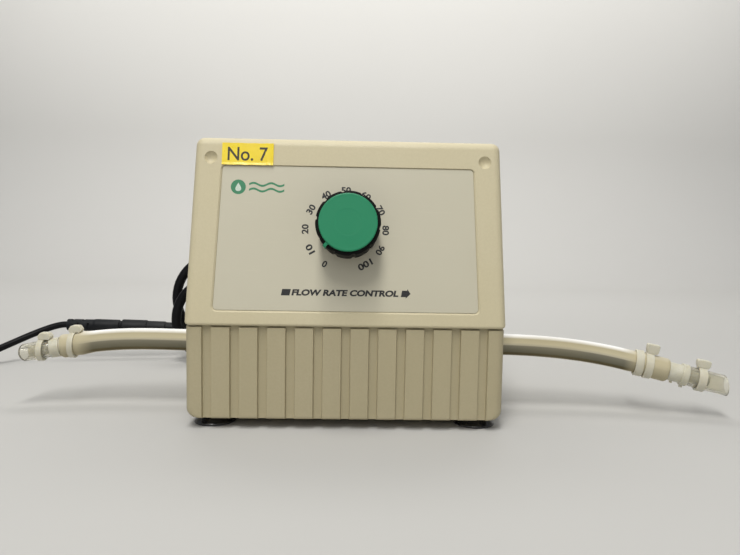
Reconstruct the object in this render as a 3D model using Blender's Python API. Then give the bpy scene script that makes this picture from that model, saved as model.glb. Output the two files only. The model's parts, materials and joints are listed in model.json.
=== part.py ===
"""Benchtop peristaltic pump: a two-part plastic case with a sloping dial panel, a roller head
with a flexible tube that leaves both sides, and a mains cord with an inline connector.

Frame: the origin is the centre of the case's flat underside, +X is the operator's right,
+Y points to the back and +Z up. The four rubber feet reach below the origin's plane.
"""

import math

import bmesh
import bpy
from mathutils import Matrix, Vector

MM = 0.001
GAP = 0.3 * MM

# How many flat sides a round shape has
ROUND_SEGMENTS = 16
SMALL_SEGMENTS = 10
LARGE_SEGMENTS = 28
FITTING_SEGMENTS = 14
CORD_SEGMENTS = 7
TUBE_SEGMENTS = 10

# Case
BASE_HALF_WIDTH = 82.7 * MM
BASE_HALF_DEPTH = 67.5 * MM
BASE_HEIGHT = 47.8 * MM
BASE_WALL = 2.5 * MM
BASE_FRONT_WALL = 4.0 * MM
CASE_CORNER_RADIUS = 4.5 * MM
SEAM_HEIGHT = 48.1 * MM
COVER_BOTTOM = 48.8 * MM
COVER_TOP = 146.4 * MM
COVER_HALF_WIDTH = 83.2 * MM
COVER_TOP_HALF_WIDTH = 80.9 * MM
COVER_FRONT = -69.0 * MM
COVER_BACK = 68.0 * MM
COVER_WALL = 2.5 * MM
COVER_FRONT_WALL = 3.0 * MM
PANEL_ANGLE = math.radians(10.08)
LIP_HEIGHT = 3.0 * MM
LIP_INSET = 1.1 * MM

GROOVE_COUNT = 11
GROOVE_PITCH = 14.31 * MM
GROOVE_WIDTH = 4.8 * MM
GROOVE_DEPTH = 2.0 * MM

VENT_COUNT = 6
VENT_PITCH = 7.0 * MM
VENT_SIZE = (44.0 * MM, 2.6 * MM)
VENT_MIDDLE_HEIGHT = 98.0 * MM

# Case screws and their posts
POST_X = 75.5 * MM
POST_Y = 60.3 * MM
POST_RADIUS = 5.5 * MM
POST_TOP = 50.6 * MM
BOSS_BOTTOM = 51.9 * MM
BOSS_TOP = 62.5 * MM
COUNTERBORE_RADIUS = 3.4 * MM
COUNTERBORE_TOP = 40.0 * MM
SCREW_RADIUS = 1.5 * MM
SCREW_HEAD_RADIUS = 2.9 * MM
SCREW_HEAD_HEIGHT = 2.2 * MM
SCREW_CLEARANCE = 0.3 * MM
SCREW_TIP = 60.5 * MM

# Feet
FOOT_X = 70.5 * MM
FOOT_Y = 52.5 * MM
FOOT_RADIUS = 11.0 * MM
FOOT_HEIGHT = 5.5 * MM
FOOT_STEM_RADIUS = 2.5 * MM
FOOT_SEAT_RADIUS = 8.9 * MM
FOOT_SEAT_DEPTH = 0.5 * MM

# Sloping panel: heights along the slope are counted from the seam.
KNOB_X = 0.5 * MM
KNOB_RISE = 51.5 * MM
RECESS_LOW = 8.7 * MM
RECESS_HIGH = 84.9 * MM
RECESS_LOW_HALF_WIDTH = 68.4 * MM
RECESS_HIGH_HALF_WIDTH = 66.2 * MM
RECESS_DEPTH = 1.2 * MM
LABEL_THICKNESS = 0.4 * MM
TAPE_SIZE = (27.0 * MM, 11.8 * MM)
TAPE_CENTRE = (-53.0 * MM, 90.8 * MM)
TAPE_THICKNESS = 0.25 * MM
DIMPLE_X = 72.2 * MM
DIMPLE_RISE = 88.8 * MM
DIMPLE_RADIUS = 3.4 * MM
DIMPLE_DEPTH = 1.1 * MM

# Knob and potentiometer: heights are counted out of the panel's face.
KNOB_RADIUS = 16.0 * MM
KNOB_FOOT_RADIUS = 15.3 * MM
KNOB_BOTTOM = 1.2 * MM
KNOB_TOP = 18.6 * MM
KNOB_CAVITY_RADIUS = 9.5 * MM
KNOB_CAVITY_TOP = 6.0 * MM
FLUTE_COUNT = 10
FLUTE_DEPTH = 0.5 * MM
POINTS_PER_FLUTE = 6
CAP_RADIUS = 14.5 * MM
CAP_TOP = 20.5 * MM
POINTER_ANGLE = math.radians(-136.0)
POINTER_WIDTH = 2.0 * MM
POINTER_BOTTOM = 12.0 * MM
SHAFT_RADIUS = 3.0 * MM
COLLET_RADIUS = 5.0 * MM
COLLET_BOTTOM = 6.3 * MM
COLLET_TOP = 17.0 * MM
BUSHING_RADIUS = 4.5 * MM
BUSHING_TOP = 3.0 * MM
POT_RADIUS = 12.0 * MM
POT_FRONT = -3.4 * MM
POT_BACK = -17.0 * MM
POT_BORE_BACK = -12.3 * MM
NUT_ACROSS_FLATS = 12.0 * MM
NUT_BOTTOM = -0.2 * MM
NUT_TOP = 1.8 * MM

# Pump head: depths are counted forward from the case's middle plane.
HEAD_DEPTH = 17.5 * MM
TUBE_HEIGHT = 31.7 * MM
TUBE_RADIUS = 6.35 * MM
TUBE_WALL = 2.35 * MM
SQUEEZED_HALF_THICKNESS = 2.6 * MM
SQUEEZED_HALF_WIDTH = 8.4 * MM
ENTRY_BEND_RADIUS = 22.0 * MM
ARCH_RADIUS = 26.9 * MM
BEND_STEPS = 8
ARCH_STEPS = 12
SQUEEZE_START = math.radians(35)
SQUEEZE_SPAN = math.radians(50)
ROTOR_HEIGHT = TUBE_HEIGHT + ENTRY_BEND_RADIUS
BED_RADIUS = ARCH_RADIUS + SQUEEZED_HALF_THICKNESS + GAP
BED_HALF_WIDTH = 40.0 * MM
BED_TOP = 37.0 * MM
BED_BOTTOM = 0.8 * MM
BED_DEPTHS = (4.3 * MM, 30.8 * MM)
HEAD_COVER_DEPTHS = (31.1 * MM, 34.0 * MM)
HEAD_COVER_BOTTOM = -14.0 * MM
ROLLER_COUNT = 3
ROLLER_RADIUS = 6.0 * MM
ROLLER_PITCH_RADIUS = 18.0 * MM
ROLLER_DEPTHS = (8.5 * MM, 26.5 * MM)
PIN_RADIUS = 2.0 * MM
PLATE_RADIUS = 22.5 * MM
BACK_PLATE_DEPTHS = (5.2 * MM, 8.2 * MM)
FRONT_PLATE_DEPTHS = (26.8 * MM, 29.8 * MM)
HUB_RADIUS = 9.0 * MM
ROTOR_SHAFT_RADIUS = 4.0 * MM
ROTOR_SHAFT_DEPTHS = (-13.0 * MM, 35.5 * MM)
BUSH_RADIUS = 6.0 * MM
BUSH_LENGTH = 3.2 * MM
HEAD_SCREW_X = 35.0 * MM
HEAD_SCREW_RISE = 8.3 * MM

# Drive
GEAR_MODULE = 1.25 * MM
GEAR_TEETH = 44
PINION_TEETH = 11
GEAR_DEPTHS = (-6.0 * MM, 0.0)
PINION_DEPTHS = (-6.5 * MM, 0.5 * MM)
TOOTH_ADDENDUM = 0.75 * GEAR_MODULE
TOOTH_DEDENDUM = 1.1 * GEAR_MODULE
CENTRE_CLEARANCE = 0.2 * MM
MOTOR_RISE = GEAR_MODULE * (GEAR_TEETH + PINION_TEETH) / 2 + CENTRE_CLEARANCE
MOTOR_HEIGHT = ROTOR_HEIGHT + MOTOR_RISE
MOTOR_RADIUS = 18.0 * MM
MOTOR_DEPTHS = (-57.0 * MM, -11.3 * MM)
MOTOR_SHAFT_RADIUS = 2.0 * MM
MOTOR_SHAFT_DEPTHS = (-19.7 * MM, 0.8 * MM)
MOTOR_SCREW_X = 12.0 * MM
BRACKET_HALF_WIDTH = 38.0 * MM
BRACKET_TOP = 112.5 * MM
BRACKET_THICKNESS = 2.0 * MM
BRACKET_FRONT = 4.0 * MM
BRACKET_BACK = -11.0 * MM

# Control board
BOARD_LOW = (48.0 * MM, -12.0 * MM, 7.0 * MM)
BOARD_HIGH = (78.0 * MM, 52.0 * MM, 8.6 * MM)
STANDOFF_RADIUS = 3.0 * MM
STANDOFF_PLACES = ((53, -6), (73, -6), (53, 44), (73, 44))
SINK_WIDTH = 22.0 * MM
SINK_DEPTH = 20.0 * MM
SINK_HEIGHT = 14.0 * MM
FIN_COUNT = 5
FIN_WIDTH = 2.0 * MM
CAPACITOR_RADIUS = 6.5 * MM
CAPACITOR_HEIGHT = 24.0 * MM

# Tube ends: where each end stops, and the way it points.
LEFT_END = Vector((-167.4, -21.6, 27.8)) * MM
LEFT_WAY = Vector((-0.967, -0.202, -0.151)).normalized()
RIGHT_END = Vector((188.2, -31.5, 20.0)) * MM
RIGHT_WAY = Vector((0.9376, -0.28, -0.205)).normalized()
END_BORE = 2.2 * MM
TIE_WIDTHS = (3.1 * MM, 4.3 * MM)
TIE_THICKNESS = 1.2 * MM
TIE_HEAD = (8.6 * MM, 5.8 * MM, 5.6 * MM)
LEFT_END_TUBE_RADIUS = 5.1 * MM
RIGHT_END_TUBE_RADIUS = 5.75 * MM
END_TUBE_WALL = 1.6 * MM

# Cord and connectors
CORD_RADIUS = 3.3 * MM
LEAD_RADIUS = 2.3 * MM
GRIP_X = -48.0 * MM
GRIP_HEIGHT = 20.5 * MM
COIL_TURNS = 2
COIL_STEPS = 16
GRIP_RADIUS = 6.2 * MM
PLUG_END = Vector((-222.8, 98.0, 21.5)) * MM
JACK_END = Vector((-141.3, 109.0, 18.0)) * MM
PLUG_LENGTH = 40.5 * MM

MATERIALS = {
    "case_plastic": ((0.53, 0.46, 0.31), 0.5, 0.0),
    "base_plastic": ((0.40, 0.35, 0.23), 0.5, 0.0),
    "panel_film": ((0.50, 0.47, 0.38), 0.45, 0.0),
    "tape": ((0.74, 0.58, 0.06), 0.4, 0.0),
    "knob_plastic": ((0.012, 0.012, 0.014), 0.35, 0.0),
    "cap_plastic": ((0.03, 0.22, 0.11), 0.35, 0.0),
    "brass": ((0.70, 0.50, 0.20), 0.3, 1.0),
    "steel": ((0.55, 0.55, 0.56), 0.35, 1.0),
    "aluminium": ((0.70, 0.70, 0.72), 0.4, 1.0),
    "board": ((0.02, 0.16, 0.06), 0.5, 0.0),
    "blue_plastic": ((0.03, 0.08, 0.30), 0.45, 0.0),
    "black_rubber": ((0.015, 0.015, 0.016), 0.6, 0.0),
    "black_plastic": ((0.02, 0.02, 0.025), 0.4, 0.0),
    "amber_tube": ((0.42, 0.32, 0.14), 0.35, 0.0),
    "clear_tube": ((0.62, 0.60, 0.50), 0.2, 0.0),
    "white_nylon": ((0.72, 0.70, 0.60), 0.4, 0.0),
    "pale_nylon": ((0.66, 0.62, 0.48), 0.45, 0.0),
}


def clear_scene():
    for obj in list(bpy.data.objects):
        bpy.data.objects.remove(obj, do_unlink=True)


def material(key):
    found = bpy.data.materials.get(key)
    if found:
        return found
    colour, roughness, metallic = MATERIALS[key]
    made = bpy.data.materials.new(key)
    made.use_nodes = True
    shader = made.node_tree.nodes["Principled BSDF"]
    shader.inputs["Base Color"].default_value = (*colour, 1.0)
    shader.inputs["Roughness"].default_value = roughness
    shader.inputs["Metallic"].default_value = metallic
    return made


def frame_empty(name, location, rotation=(0.0, 0.0, 0.0), parent=None):
    empty = bpy.data.objects.new(name, None)
    empty.location = location
    empty.rotation_euler = rotation
    empty.empty_display_size = 10 * MM
    empty.parent = parent
    bpy.context.scene.collection.objects.link(empty)
    return empty


def make_object(name, bm, parent=None, smooth=None):
    """An object from a bmesh, flat shaded, or smooth below the angle given in degrees."""
    bmesh.ops.recalc_face_normals(bm, faces=bm.faces)
    mesh = bpy.data.meshes.new(name)
    bm.to_mesh(mesh)
    bm.free()
    if smooth:
        mesh.shade_smooth()
        mesh.set_sharp_from_angle(angle=math.radians(smooth))
    obj = bpy.data.objects.new(name, mesh)
    obj.parent = parent
    bpy.context.scene.collection.objects.link(obj)
    return obj


def piece(name, bm, key, parent=None, smooth=None):
    obj = make_object(name, bm, parent, smooth)
    obj.data.materials.append(material(key))
    return obj


def change(obj, bm, operation, parent=None):
    """Cuts the bmesh's shape from an object, or joins it on, with a Boolean."""
    helper = make_object(f"{obj.name}_{operation.lower()}_{len(obj.modifiers)}", bm, parent)
    helper.hide_render = True
    helper.display_type = "WIRE"
    boolean = obj.modifiers.new(helper.name, "BOOLEAN")
    boolean.object = helper
    boolean.operation = operation
    boolean.solver = "EXACT"


def cut(obj, bm, parent=None):
    change(obj, bm, "DIFFERENCE", parent)


def join(obj, bm, parent=None):
    change(obj, bm, "UNION", parent)


def merged(shapes):
    """Several separate bmeshes as one, to cut or join them in a single step."""
    whole = bmesh.new()
    for shape in shapes:
        mesh = bpy.data.meshes.new("merge")
        shape.to_mesh(mesh)
        shape.free()
        whole.from_mesh(mesh)
        bpy.data.meshes.remove(mesh)
    return whole


def moved(bm, offset):
    bmesh.ops.translate(bm, verts=bm.verts, vec=offset)
    return bm


def turned(bm, matrix):
    bmesh.ops.transform(bm, matrix=matrix, verts=bm.verts)
    return bm


def block(low, high):
    bm = bmesh.new()
    bmesh.ops.create_cube(bm, size=1.0)
    for vert in bm.verts:
        for axis in range(3):
            share = vert.co[axis] + 0.5
            vert.co[axis] = low[axis] + share * (high[axis] - low[axis])
    return bm


def bridge(bm, first, second):
    """Quads between two rings of the same count, or triangles where one is a single point."""
    count = max(len(first), len(second))
    for i in range(count):
        j = (i + 1) % count
        corners = [first[i % len(first)], first[j % len(first)]]
        corners += [second[j % len(second)], second[i % len(second)]]
        unique = list(dict.fromkeys(corners))
        bm.faces.new(unique)


def loft(rings, loop=False):
    """A solid through rings of points, closed with end caps, or back onto its first ring."""
    bm = bmesh.new()
    made = [[bm.verts.new(point) for point in ring] for ring in rings]
    for first, second in zip(made, made[1:]):
        bridge(bm, first, second)
    if loop:
        bridge(bm, made[-1], made[0])
    else:
        for ring in (made[0], made[-1]):
            if len(ring) > 2:
                bm.faces.new(ring)
    return bm


def circle(radius, height, segments):
    if radius == 0:
        return [(0.0, 0.0, height)]
    angles = [2 * math.pi * i / segments for i in range(segments)]
    return [(radius * math.cos(a), radius * math.sin(a), height) for a in angles]


def lathe(profile, segments=ROUND_SEGMENTS):
    """A solid turned about Z from (radius, height) points, as a ring unless it ends on the axis."""
    on_axis = profile[0][0] == 0
    return loft([circle(r, h, segments) for r, h in profile], loop=not on_axis)


def cylinder(radius, low, high, segments=ROUND_SEGMENTS):
    return loft([circle(radius, low, segments), circle(radius, high, segments)])


def ring(inner, outer, low, high, segments=ROUND_SEGMENTS):
    return lathe([(inner, low), (outer, low), (outer, high), (inner, high)], segments)


def prism(outline, low, high):
    return loft([[(x, y, low) for x, y in outline], [(x, y, high) for x, y in outline]])


def blend(a, b, share):
    return a + (b - a) * share


def smooth_step(share):
    share = min(max(share, 0.0), 1.0)
    return share * share * (3 - 2 * share)


def hermite(start, start_pull, end, end_pull, count):
    """Points after the start on a cubic from start to end, with the pull at each end."""
    points = []
    for i in range(1, count + 1):
        t = i / count
        points.append(
            start * (2 * t**3 - 3 * t**2 + 1)
            + start_pull * (t**3 - 2 * t**2 + t)
            + end * (3 * t**2 - 2 * t**3)
            + end_pull * (t**3 - t**2)
        )
    return points


def tangents(path):
    ways = []
    for i in range(len(path)):
        before = path[max(i - 1, 0)]
        after = path[min(i + 1, len(path) - 1)]
        ways.append((after - before).normalized())
    return ways


def cord(path, radius, segments=CORD_SEGMENTS):
    """A round solid along a path, with a section that doesn't twist."""
    ways = tangents(path)
    side = ways[0].orthogonal().normalized()
    rings = []
    for point, way in zip(path, ways):
        side = (side - way * side.dot(way)).normalized()
        up = way.cross(side)
        rings.append([
            point + side * radius * math.cos(a) + up * radius * math.sin(a)
            for a in (2 * math.pi * i / segments for i in range(segments))
        ])
    return loft(rings)


def aimed(origin, way):
    """The matrix that stands a shape turned about Z at a point, with Z along a direction."""
    return Matrix.Translation(origin) @ way.to_track_quat("Z", "Y").to_matrix().to_4x4()


# ---------------------------------------------------------------- case


def panel_y(height):
    return COVER_FRONT + (height - SEAM_HEIGHT) * math.tan(PANEL_ANGLE)


def cover_half_width(height):
    share = (height - SEAM_HEIGHT) / (COVER_TOP - SEAM_HEIGHT)
    return blend(COVER_HALF_WIDTH, COVER_TOP_HALF_WIDTH, share)


def cover_block(low, high, inset, front_inset, radius, segments):
    """A tapered block with the cover's outline, pulled in from it and rounded but for its foot."""
    levels = []
    for height in (low, high):
        half = cover_half_width(height) - inset
        front = panel_y(height) + front_inset
        back = COVER_BACK - inset
        levels.append(
            [(-half, front, height), (half, front, height), (half, back, height), (-half, back, height)]
        )
    bm = loft(levels)
    kept = [edge for edge in bm.edges if max(v.co.z for v in edge.verts) > low + MM]
    bmesh.ops.bevel(bm, geom=kept, offset=radius, segments=segments, profile=0.5, affect="EDGES")
    return bm


def recess_outline(margin):
    """The panel's label field, with round corners, from the knob's centre."""
    low = RECESS_LOW - KNOB_RISE - margin
    high = RECESS_HIGH - KNOB_RISE + margin
    low_half = RECESS_LOW_HALF_WIDTH + margin
    high_half = RECESS_HIGH_HALF_WIDTH + margin
    corners = [(high_half, high, 0), (-high_half, high, 90), (-low_half, low, 180), (low_half, low, 270)]
    radius = 2.2 * MM + margin
    outline = []
    for x, y, first in corners:
        middle_x = x - math.copysign(radius, x) - KNOB_X
        middle_y = y - math.copysign(radius, y)
        for step in range(4):
            angle = math.radians(first + 30 * step)
            outline.append((middle_x + radius * math.cos(angle), middle_y + radius * math.sin(angle)))
    return outline


def dimple(x):
    radius = (DIMPLE_RADIUS**2 + DIMPLE_DEPTH**2) / (2 * DIMPLE_DEPTH)
    bm = bmesh.new()
    bmesh.ops.create_uvsphere(bm, u_segments=ROUND_SEGMENTS, v_segments=8, radius=radius)
    return moved(bm, (x - KNOB_X, DIMPLE_RISE - KNOB_RISE, radius - DIMPLE_DEPTH))


def corner_posts(radius, low, high, segments=ROUND_SEGMENTS):
    return merged(
        moved(cylinder(radius, low, high, segments), (x * POST_X, y * POST_Y, 0))
        for x in (-1, 1)
        for y in (-1, 1)
    )


def top_cover(panel):
    cover = piece(
        "top_cover",
        cover_block(COVER_BOTTOM, COVER_TOP, 0, 0, 4.4 * MM, 3),
        "case_plastic",
        smooth=35,
    )
    below = COVER_BOTTOM - 10 * MM
    cut(cover, cover_block(below, COVER_TOP - COVER_WALL, COVER_WALL, COVER_FRONT_WALL, 2.5 * MM, 2))
    side = BASE_HALF_WIDTH - LIP_INSET + GAP
    cut(cover, block(
        (-side, -66.2 * MM, below),
        (side, BASE_HALF_DEPTH - LIP_INSET + GAP, SEAM_HEIGHT + LIP_HEIGHT + GAP),
    ))
    join(cover, corner_posts(POST_RADIUS, BOSS_BOTTOM, BOSS_TOP))
    pilot = SCREW_RADIUS + SCREW_CLEARANCE
    cut(cover, corner_posts(pilot, BOSS_BOTTOM - MM, SCREW_TIP + MM, SMALL_SEGMENTS))
    panel_cuts = [
        prism(recess_outline(0), -RECESS_DEPTH, 5 * MM),
        dimple(-DIMPLE_X),
        dimple(DIMPLE_X),
    ]
    cut(cover, merged(panel_cuts), panel)
    cut(cover, cylinder(BUSHING_RADIUS + 0.4 * MM, -6 * MM, 2 * MM), panel)
    slots = []
    for i in range(VENT_COUNT):
        middle = VENT_MIDDLE_HEIGHT + (i - (VENT_COUNT - 1) / 2) * VENT_PITCH
        slots.append(block(
            (-VENT_SIZE[0] / 2, COVER_BACK - 2 * COVER_WALL, middle - VENT_SIZE[1] / 2),
            (VENT_SIZE[0] / 2, COVER_BACK + MM, middle + VENT_SIZE[1] / 2),
        ))
    cut(cover, merged(slots))


def base_block():
    bm = block(
        (-BASE_HALF_WIDTH, -BASE_HALF_DEPTH, 0),
        (BASE_HALF_WIDTH, BASE_HALF_DEPTH, BASE_HEIGHT),
    )
    kept = [edge for edge in bm.edges if min(v.co.z for v in edge.verts) < MM]
    bmesh.ops.bevel(
        bm, geom=kept, offset=CASE_CORNER_RADIUS, segments=3, profile=0.5, affect="EDGES"
    )
    return bm


def tube_hole_cutter():
    """A bar along X through both side walls, on the tube's centre line."""
    bm = cylinder(TUBE_RADIUS + 0.85 * MM, -100 * MM, 100 * MM)
    along_x = Matrix.Rotation(math.radians(90), 4, "Y")
    return moved(turned(bm, along_x), (0, -HEAD_DEPTH, TUBE_HEIGHT))


def at_feet(radius, low, high, segments):
    """A cylinder at each foot's place."""
    return merged(
        moved(cylinder(radius, low, high, segments), (x * FOOT_X, y * FOOT_Y, 0))
        for x in (-1, 1)
        for y in (-1, 1)
    )


def base_tray():
    base = piece("base_tray", base_block(), "base_plastic", smooth=35)
    side = BASE_HALF_WIDTH - LIP_INSET
    join(base, block(
        (-side, -65.8 * MM, 30 * MM),
        (side, BASE_HALF_DEPTH - LIP_INSET, SEAM_HEIGHT + LIP_HEIGHT),
    ))
    inner_side = BASE_HALF_WIDTH - BASE_WALL
    cut(base, block(
        (-inner_side, BASE_FRONT_WALL - BASE_HALF_DEPTH, BASE_WALL),
        (inner_side, BASE_HALF_DEPTH - BASE_WALL, 60 * MM),
    ))
    standoffs = [
        moved(cylinder(STANDOFF_RADIUS, MM, BOARD_LOW[2] - GAP, SMALL_SEGMENTS), (x * MM, y * MM, 0))
        for x, y in STANDOFF_PLACES
    ]
    join(base, merged([corner_posts(POST_RADIUS, MM, POST_TOP)] + standoffs))
    cut(base, corner_posts(COUNTERBORE_RADIUS, -MM, COUNTERBORE_TOP, SMALL_SEGMENTS))
    cut(base, corner_posts(SCREW_RADIUS + SCREW_CLEARANCE, 30 * MM, 60 * MM, SMALL_SEGMENTS))
    grooves = []
    for i in range(GROOVE_COUNT):
        middle = (i - (GROOVE_COUNT - 1) / 2) * GROOVE_PITCH
        grooves.append(block(
            (middle - GROOVE_WIDTH / 2, -75 * MM, -MM),
            (middle + GROOVE_WIDTH / 2, GROOVE_DEPTH - BASE_HALF_DEPTH, BASE_HEIGHT + 0.15 * MM),
        ))
    cut(base, merged(grooves))
    cut(base, tube_hole_cutter())
    cut(base, at_feet(FOOT_STEM_RADIUS + GAP, -MM, 2 * BASE_WALL, SMALL_SEGMENTS))
    cut(base, at_feet(FOOT_SEAT_RADIUS, -MM, FOOT_SEAT_DEPTH, ROUND_SEGMENTS))
    to_back = Matrix.Rotation(math.radians(-90), 4, "X")
    grip_hole = turned(cylinder(GRIP_RADIUS + GAP, 60 * MM, 75 * MM), to_back)
    cut(base, moved(grip_hole, (GRIP_X, 0, GRIP_HEIGHT)))


def feet():
    top = FOOT_SEAT_DEPTH - GAP
    profile = [
        (0, -4.5 * MM),
        (8.0 * MM, -FOOT_HEIGHT),
        (FOOT_RADIUS, -FOOT_HEIGHT),
        (FOOT_RADIUS, -4.6 * MM),
        (8.5 * MM, -2.3 * MM),
        (7.2 * MM, top),
        (FOOT_STEM_RADIUS, top),
        (FOOT_STEM_RADIUS, BASE_WALL + GAP),
        (3.3 * MM, BASE_WALL + GAP),
        (2.5 * MM, 5.0 * MM),
        (0, 5.0 * MM),
    ]
    for side, x in (("left", -FOOT_X), ("right", FOOT_X)):
        for end, y in (("front", -FOOT_Y), ("back", FOOT_Y)):
            foot = piece(f"foot_{end}_{side}", lathe(profile, FITTING_SEGMENTS), "black_rubber", smooth=35)
            foot.location = (x, y, 0)


def screw(name, place, head_low, tip, parent=None, way=1):
    """A pan-head screw along Z: its shank runs from the head towards the tip."""
    head_high = head_low + way * SCREW_HEAD_HEIGHT
    profile = [
        (0, head_low),
        (SCREW_HEAD_RADIUS, head_low),
        (SCREW_HEAD_RADIUS, head_high),
        (SCREW_RADIUS, head_high),
        (SCREW_RADIUS, tip),
        (0, tip),
    ]
    made = piece(name, lathe(profile, SMALL_SEGMENTS), "steel", parent, smooth=35)
    made.location = place
    return made


def case_screws():
    for side, x in (("left", -POST_X), ("right", POST_X)):
        for end, y in (("front", -POST_Y), ("back", POST_Y)):
            head_low = COUNTERBORE_TOP - GAP - SCREW_HEAD_HEIGHT
            screw(f"case_screw_{end}_{side}", (x, y, 0), head_low, SCREW_TIP)


def panel_labels(panel):
    low = -RECESS_DEPTH + GAP
    label = piece("fascia_label", prism(recess_outline(-0.2 * MM), low, low + LABEL_THICKNESS),
                  "panel_film", panel)
    cut(label, cylinder(BUSHING_RADIUS + 0.5 * MM, -5 * MM, 5 * MM), panel)
    x = TAPE_CENTRE[0] - KNOB_X
    y = TAPE_CENTRE[1] - KNOB_RISE
    tape = block(
        (x - TAPE_SIZE[0] / 2, y - TAPE_SIZE[1] / 2, GAP),
        (x + TAPE_SIZE[0] / 2, y + TAPE_SIZE[1] / 2, GAP + TAPE_THICKNESS),
    )
    piece("asset_label", tape, "tape", panel)


# ---------------------------------------------------------------- knob


def fluted_ring(radius, height):
    """A circle with narrow flutes between broad lobes, each flute two points wide."""
    points = []
    count = POINTS_PER_FLUTE * FLUTE_COUNT
    for i in range(count):
        angle = 2 * math.pi * i / count
        reach = radius - (FLUTE_DEPTH if i % POINTS_PER_FLUTE < 2 else 0)
        points.append((reach * math.cos(angle), reach * math.sin(angle), height))
    return points


def knob(knob_axis):
    count = POINTS_PER_FLUTE * FLUTE_COUNT
    bore = COLLET_RADIUS + GAP
    rings = [
        circle(0, COLLET_TOP + GAP, count),
        circle(bore, COLLET_TOP + GAP, count),
        circle(bore, KNOB_CAVITY_TOP, count),
        circle(KNOB_CAVITY_RADIUS, KNOB_CAVITY_TOP, count),
        circle(KNOB_CAVITY_RADIUS, KNOB_BOTTOM, count),
        fluted_ring(KNOB_FOOT_RADIUS, KNOB_BOTTOM),
        fluted_ring(KNOB_RADIUS, KNOB_TOP - MM),
        fluted_ring(KNOB_RADIUS - 0.6 * MM, KNOB_TOP),
        circle(0, KNOB_TOP, count),
    ]
    piece("knob_body", loft(rings), "knob_plastic", knob_axis, smooth=30)

    low = KNOB_TOP + GAP
    profile = [(0, low), (CAP_RADIUS, low), (CAP_RADIUS, CAP_TOP - 0.5 * MM)]
    profile += [(CAP_RADIUS - 0.6 * MM, CAP_TOP), (0, CAP_TOP)]
    cap = piece("knob_cap", lathe(profile, LARGE_SEGMENTS), "cap_plastic", knob_axis, smooth=35)
    outside = KNOB_RADIUS + GAP
    tab = [
        (CAP_RADIUS - 2 * MM, low + 0.2 * MM),
        (outside, low + 0.2 * MM),
        (outside, POINTER_BOTTOM),
        (outside + 0.7 * MM, POINTER_BOTTOM),
        (outside + 0.7 * MM, CAP_TOP - 0.7 * MM),
        (CAP_RADIUS - 2 * MM, CAP_TOP - 0.2 * MM),
    ]
    stand = Matrix.Rotation(math.radians(90), 4, "X")
    pointer = turned(prism(tab, -POINTER_WIDTH / 2, POINTER_WIDTH / 2), stand)
    # The dial counts clockwise from the top of the slope, and the tab is drawn along +X.
    join(cap, turned(pointer, Matrix.Rotation(math.radians(90) - POINTER_ANGLE, 4, "Z")), knob_axis)

    collet = ring(SHAFT_RADIUS + GAP, COLLET_RADIUS, COLLET_BOTTOM, COLLET_TOP)
    piece("knob_collet", collet, "brass", knob_axis, smooth=35)
    shaft = cylinder(SHAFT_RADIUS, POT_BORE_BACK + GAP, COLLET_TOP - 0.5 * MM)
    piece("pot_shaft", shaft, "aluminium", knob_axis, smooth=35)


def potentiometer(panel):
    bore = SHAFT_RADIUS + GAP
    profile = [
        (0, POT_BACK),
        (POT_RADIUS, POT_BACK),
        (POT_RADIUS, POT_FRONT),
        (BUSHING_RADIUS, POT_FRONT),
        (BUSHING_RADIUS, BUSHING_TOP),
        (bore, BUSHING_TOP),
        (bore, POT_BORE_BACK),
        (0, POT_BORE_BACK),
    ]
    piece("pot_body", lathe(profile), "steel", panel, smooth=35)
    corner = NUT_ACROSS_FLATS / 2 / math.cos(math.radians(30))
    nut = piece("pot_nut", cylinder(corner, NUT_BOTTOM, NUT_TOP, 6), "steel", panel)
    cut(nut, cylinder(BUSHING_RADIUS + GAP, -5 * MM, 5 * MM), panel)


# ---------------------------------------------------------------- pump head


def arch_outline():
    """The bed's outline seen from the front: a block with a half-round arch open below."""
    steps = 22
    arc = []
    low_angle = math.asin(BED_BOTTOM / BED_RADIUS)
    for i in range(steps + 1):
        angle = blend(low_angle, math.pi - low_angle, i / steps)
        arc.append((BED_RADIUS * math.cos(angle), BED_RADIUS * math.sin(angle)))
    feet_line = [(-BED_HALF_WIDTH, BED_BOTTOM), (-BED_HALF_WIDTH, BED_TOP)]
    return arc + feet_line + [(BED_HALF_WIDTH, BED_TOP), (BED_HALF_WIDTH, BED_BOTTOM)]


def head_screw_holes(low, high):
    radius = SCREW_RADIUS + SCREW_CLEARANCE
    return merged(
        moved(cylinder(radius, low, high, SMALL_SEGMENTS), (side * HEAD_SCREW_X, HEAD_SCREW_RISE, 0))
        for side in (-1, 1)
    )


def pump_head(head):
    bed = piece("pump_bed", prism(arch_outline(), *BED_DEPTHS), "black_plastic", head, smooth=20)
    cut(bed, head_screw_holes(0, 40 * MM), head)
    cover_plate = block(
        (-BED_HALF_WIDTH, HEAD_COVER_BOTTOM, HEAD_COVER_DEPTHS[0]),
        (BED_HALF_WIDTH, BED_TOP, HEAD_COVER_DEPTHS[1]),
    )
    cover = piece("head_cover", cover_plate, "pale_nylon", head)
    cut(cover, head_screw_holes(20 * MM, 50 * MM), head)
    cut(cover, cylinder(ROTOR_SHAFT_RADIUS + GAP, 20 * MM, 50 * MM), head)
    for side, x in (("left", -HEAD_SCREW_X), ("right", HEAD_SCREW_X)):
        top = HEAD_COVER_DEPTHS[1] + GAP + SCREW_HEAD_HEIGHT
        screw(f"head_screw_{side}", (x, HEAD_SCREW_RISE, 0), top, MM, head, way=-1)


def roller_places():
    for i in range(ROLLER_COUNT):
        angle = math.radians(90 + 360 * i / ROLLER_COUNT)
        yield i + 1, Vector((math.cos(angle), math.sin(angle), 0)) * ROLLER_PITCH_RADIUS


def pin_holes(low, high):
    return merged(
        moved(cylinder(PIN_RADIUS + GAP, low, high, SMALL_SEGMENTS), place) for _, place in roller_places()
    )


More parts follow.
